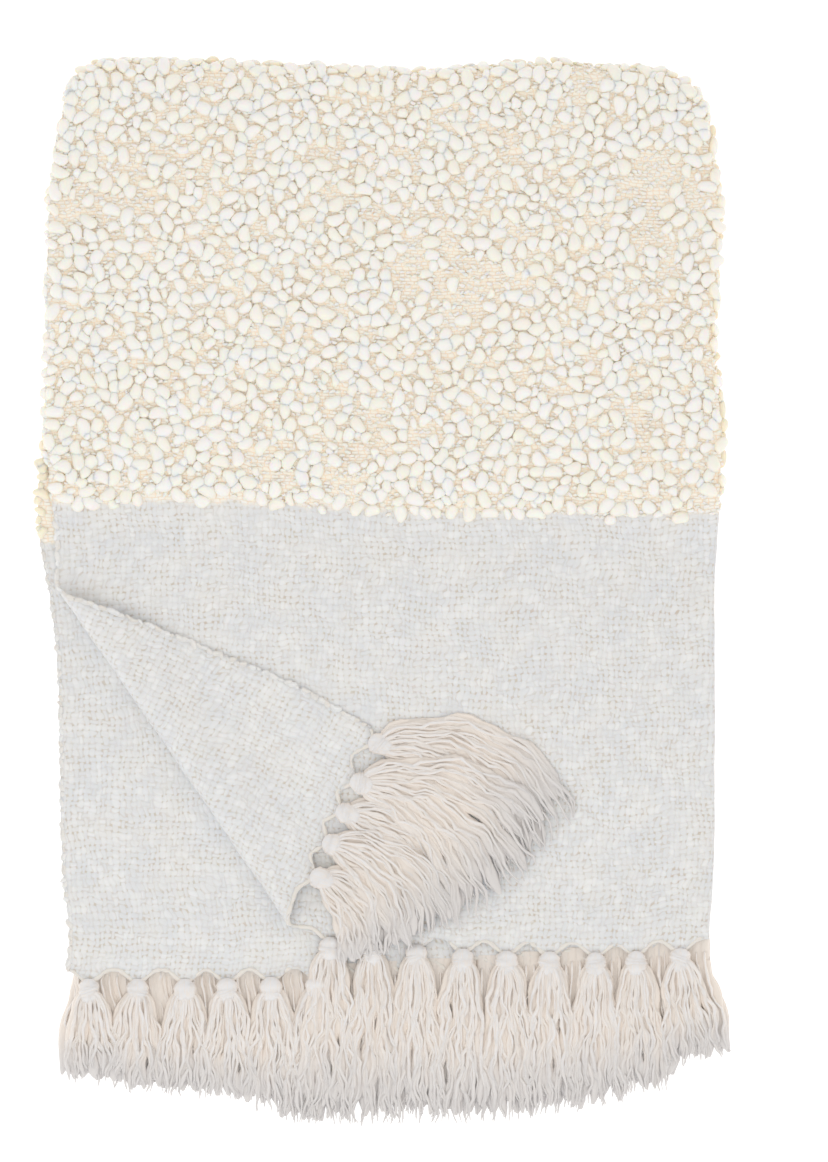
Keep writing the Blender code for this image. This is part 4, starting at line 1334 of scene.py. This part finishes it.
def tie(bundle, root, outward, floor, source):
    """Adds a bunch's knot: a plump ball of wool with three turns of it wrapped around."""
    size = source.uniform(0.90, 1.15)
    ball_at = np.array((-0.003, -0.001, 0.0015, 0.0045, 0.0075, 0.0105, 0.0135, 0.0165, 0.020))
    ball = np.array((0.0050, 0.0074, 0.0088, 0.0095, 0.0096, 0.0090, 0.0078, 0.0062, 0.0040))[None]
    ball = ball * KNOT_FULLNESS * (1.0 + 0.12 * source.uniform(-1.0, 1.0, ball.shape))
    tall = ball[0] * 0.52 * size
    spot = root[:2] + direction(np.array(outward)) * ball_at[:, None]
    base = floor(spot[:, 0], spot[:, 1], ball_at)
    height = np.where(ball_at < 0.001, np.maximum(root[2], base + tall), base + tall)
    path = np.concatenate((spot, np.maximum(height, tall + LOWEST)[:, None]), axis=1)[None]
    bundle.add(path, ball, 10, np.array((1.0,)), np.zeros((1, 9)), tall[None] / ball)
    turn = np.linspace(-0.10, 1.20, 18)[None] * 2.0 * math.pi + 0.4 * source.normal()
    order = (np.arange(KNOT_TURNS)[:, None] + 0.5) / KNOT_TURNS - 0.5
    bulge = 1.0 - 0.9 * order**2
    forward = direction(np.array(outward))
    sideways = direction(np.array(outward + math.pi / 2.0))
    slant = source.uniform(-0.0030, 0.0030)
    gone = KNOT_AT - 0.0002 + order * 0.0085 + slant * np.cos(turn)
    out = KNOT_HALF_WIDTH * bulge * np.cos(turn) * source.uniform(0.94, 1.10)
    spot = root[:2] + forward * gone[..., None] + sideways * out[..., None]
    base = floor(spot[..., 0], spot[..., 1], gone)
    rise = 0.0046 * size * (1.0 + 0.75 * bulge * np.sin(turn))
    thick = 0.0031 * (0.3 + 0.7 * np.sin(np.linspace(0.0, math.pi, 18))[None] ** 0.35) * np.ones_like(order)
    path = np.concatenate((spot, np.maximum(base + rise, thick + LOWEST)[..., None]), axis=2)
    bundle.add(path, thick, 6, np.full(KNOT_TURNS, 1.0), np.zeros(thick.shape))


def straight_fringe(name, layer, knotted, drift, material):
    """The flat part of one layer's fringe, with the bunches where the solid has them.

    Where the top layer's fringe covers a bunch, it is plain locks with a few yarns on them.
    """
    source = np.random.default_rng(40 + LAYERS.index(layer))
    rows = bunch_places(layer)
    pitch = (rows[-1][0] - rows[0][0]) / (len(rows) - 1)
    seen_to = bunch_places("top")[0][0]
    bundle = Bundle()
    for along, lean, short in rows:
        heading = math.radians(-90.0 + lean)
        root = strip_place(layer, along, STRIP_PART + STRIP_WIDTH)
        reach = read(REACH_ROWS, REACH_COLUMNS, "x", "y", root[0])
        length = (root[1] - reach) * (1.0 - 0.05 * short)

        def floor(x, y, gone):
            return strand_floor(layer, y)

        seen = layer == "top" or (knotted and along < seen_to)
        grow(
            bundle, root, -math.pi / 2.0, (heading, heading), length, pitch / length, floor, source,
            SEEN_COUNTS if seen else HIDDEN_COUNTS, seen, drift,
        )
    return bundle.piece(name, material)


def corner_fringe(name, material):
    """The fringe of the turned-back corner."""
    source = np.random.default_rng(61)
    bundle = Bundle()
    for along, first_deg, last_deg, length, spread, over in CORNER_ROWS:
        root = strip_place("top", along, STRIP_PART + STRIP_WIDTH)
        near = strip_place("top", along, STRIP_PART)
        outward = math.atan2(root[1] - near[1], root[0] - near[0])

        def floor(x, y, gone):
            rest = corner_floor(x, y, over)
            start = np.maximum(root[2] - 0.0018, rest)
            return start + (rest - start) * ease(gone / 0.035)

        headings = (math.radians(-first_deg), math.radians(-last_deg))
        spread = math.radians(spread) * CORNER_WIDENING
        grow(bundle, root, outward, headings, length, spread, floor, source, CORNER_COUNTS)
    return bundle.piece(name, material)


strand = Shader("fringe_wool", 0.9, 0.3, 0.15, (1.0, 0.97, 0.92))
run, around, _ = strand.parted(strand.uv())
twist = strand.plus(strand.times(run, 150.0), strand.times(around, 2.0))
ply = strand.maths("SINE", strand.times(twist, 2.0 * math.pi))
hairy = strand.noise(strand.joined(strand.times(run, 120.0), strand.times(around, 9.0)), 1.0, 3.0)
# Painted shade in the fringe: strands with a low tone, which lie lower in the pile, take a warm tan, and
# those on top stay pale.
lying = strand.ramp(strand.attribute("tone"), 0.15, 1.0)
pale = strand.mix(lying, (0.81, 0.735, 0.675, 1.0), (0.79, 0.795, 0.83, 1.0))
# Painted shade: the downward-facing sides of each strand turn warm tan, and their upper sides stay pale.
upward = strand.ramp(strand.attribute("upward"), 0.0, 0.9)
pale = strand.mix(upward, (1.0, 0.89, 0.80, 1.0), pale)
pale = strand.mix(strand.ramp(hairy, 0.25, 0.60), (0.83, 0.755, 0.69, 1.0), pale)
# Painted shade: towards their ends the strands turn darker grey, as the light falls off at the fringe's tips.
tip = strand.ramp(strand.attribute("gone"), 0.50, 0.95, 0.0, 0.92)
strand.colour(strand.mix(tip, pale, (0.665, 0.645, 0.65, 1.0)))
strand.bump(strand.plus(strand.times(ply, 0.4), hairy), 0.0004, 0.35)

fringes = {
    "fringe_corner": corner_fringe("corner_tassels", strand.material),
    "fringe_top": straight_fringe("top_tassels", "top", True, 0.0, strand.material),
    "fringe_second": straight_fringe("second_tassels", "second", True, 0.0, strand.material),
    "fringe_third": straight_fringe("third_tassels", "third", False, 0.006, strand.material),
    "fringe_under": straight_fringe("under_tassels", "under", False, -0.006, strand.material),
}
for node, made in fringes.items():
    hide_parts(node)


# The floor: a plain white ground under the throw and no part of it. It gives some light of its
# own, as the white around the throw does in the photograph.
floor_data = bpy.data.meshes.new("floor")
floor_data.from_pydata([(-6, -6, 0), (6, -6, 0), (6, 6, 0), (-6, 6, 0)], [], [(0, 1, 2, 3)])
floor = bpy.data.objects.new("floor", floor_data)
bpy.context.scene.collection.objects.link(floor)
floor_look = Shader("white_floor", 0.9, 0.0)
floor_look.colour((0.9, 0.9, 0.9, 1.0))
floor_look.surface.inputs["Emission Color"].default_value = (1.0, 1.0, 1.0, 1.0)
floor_look.surface.inputs["Emission Strength"].default_value = 0.55
floor_data.materials.append(floor_look.material)
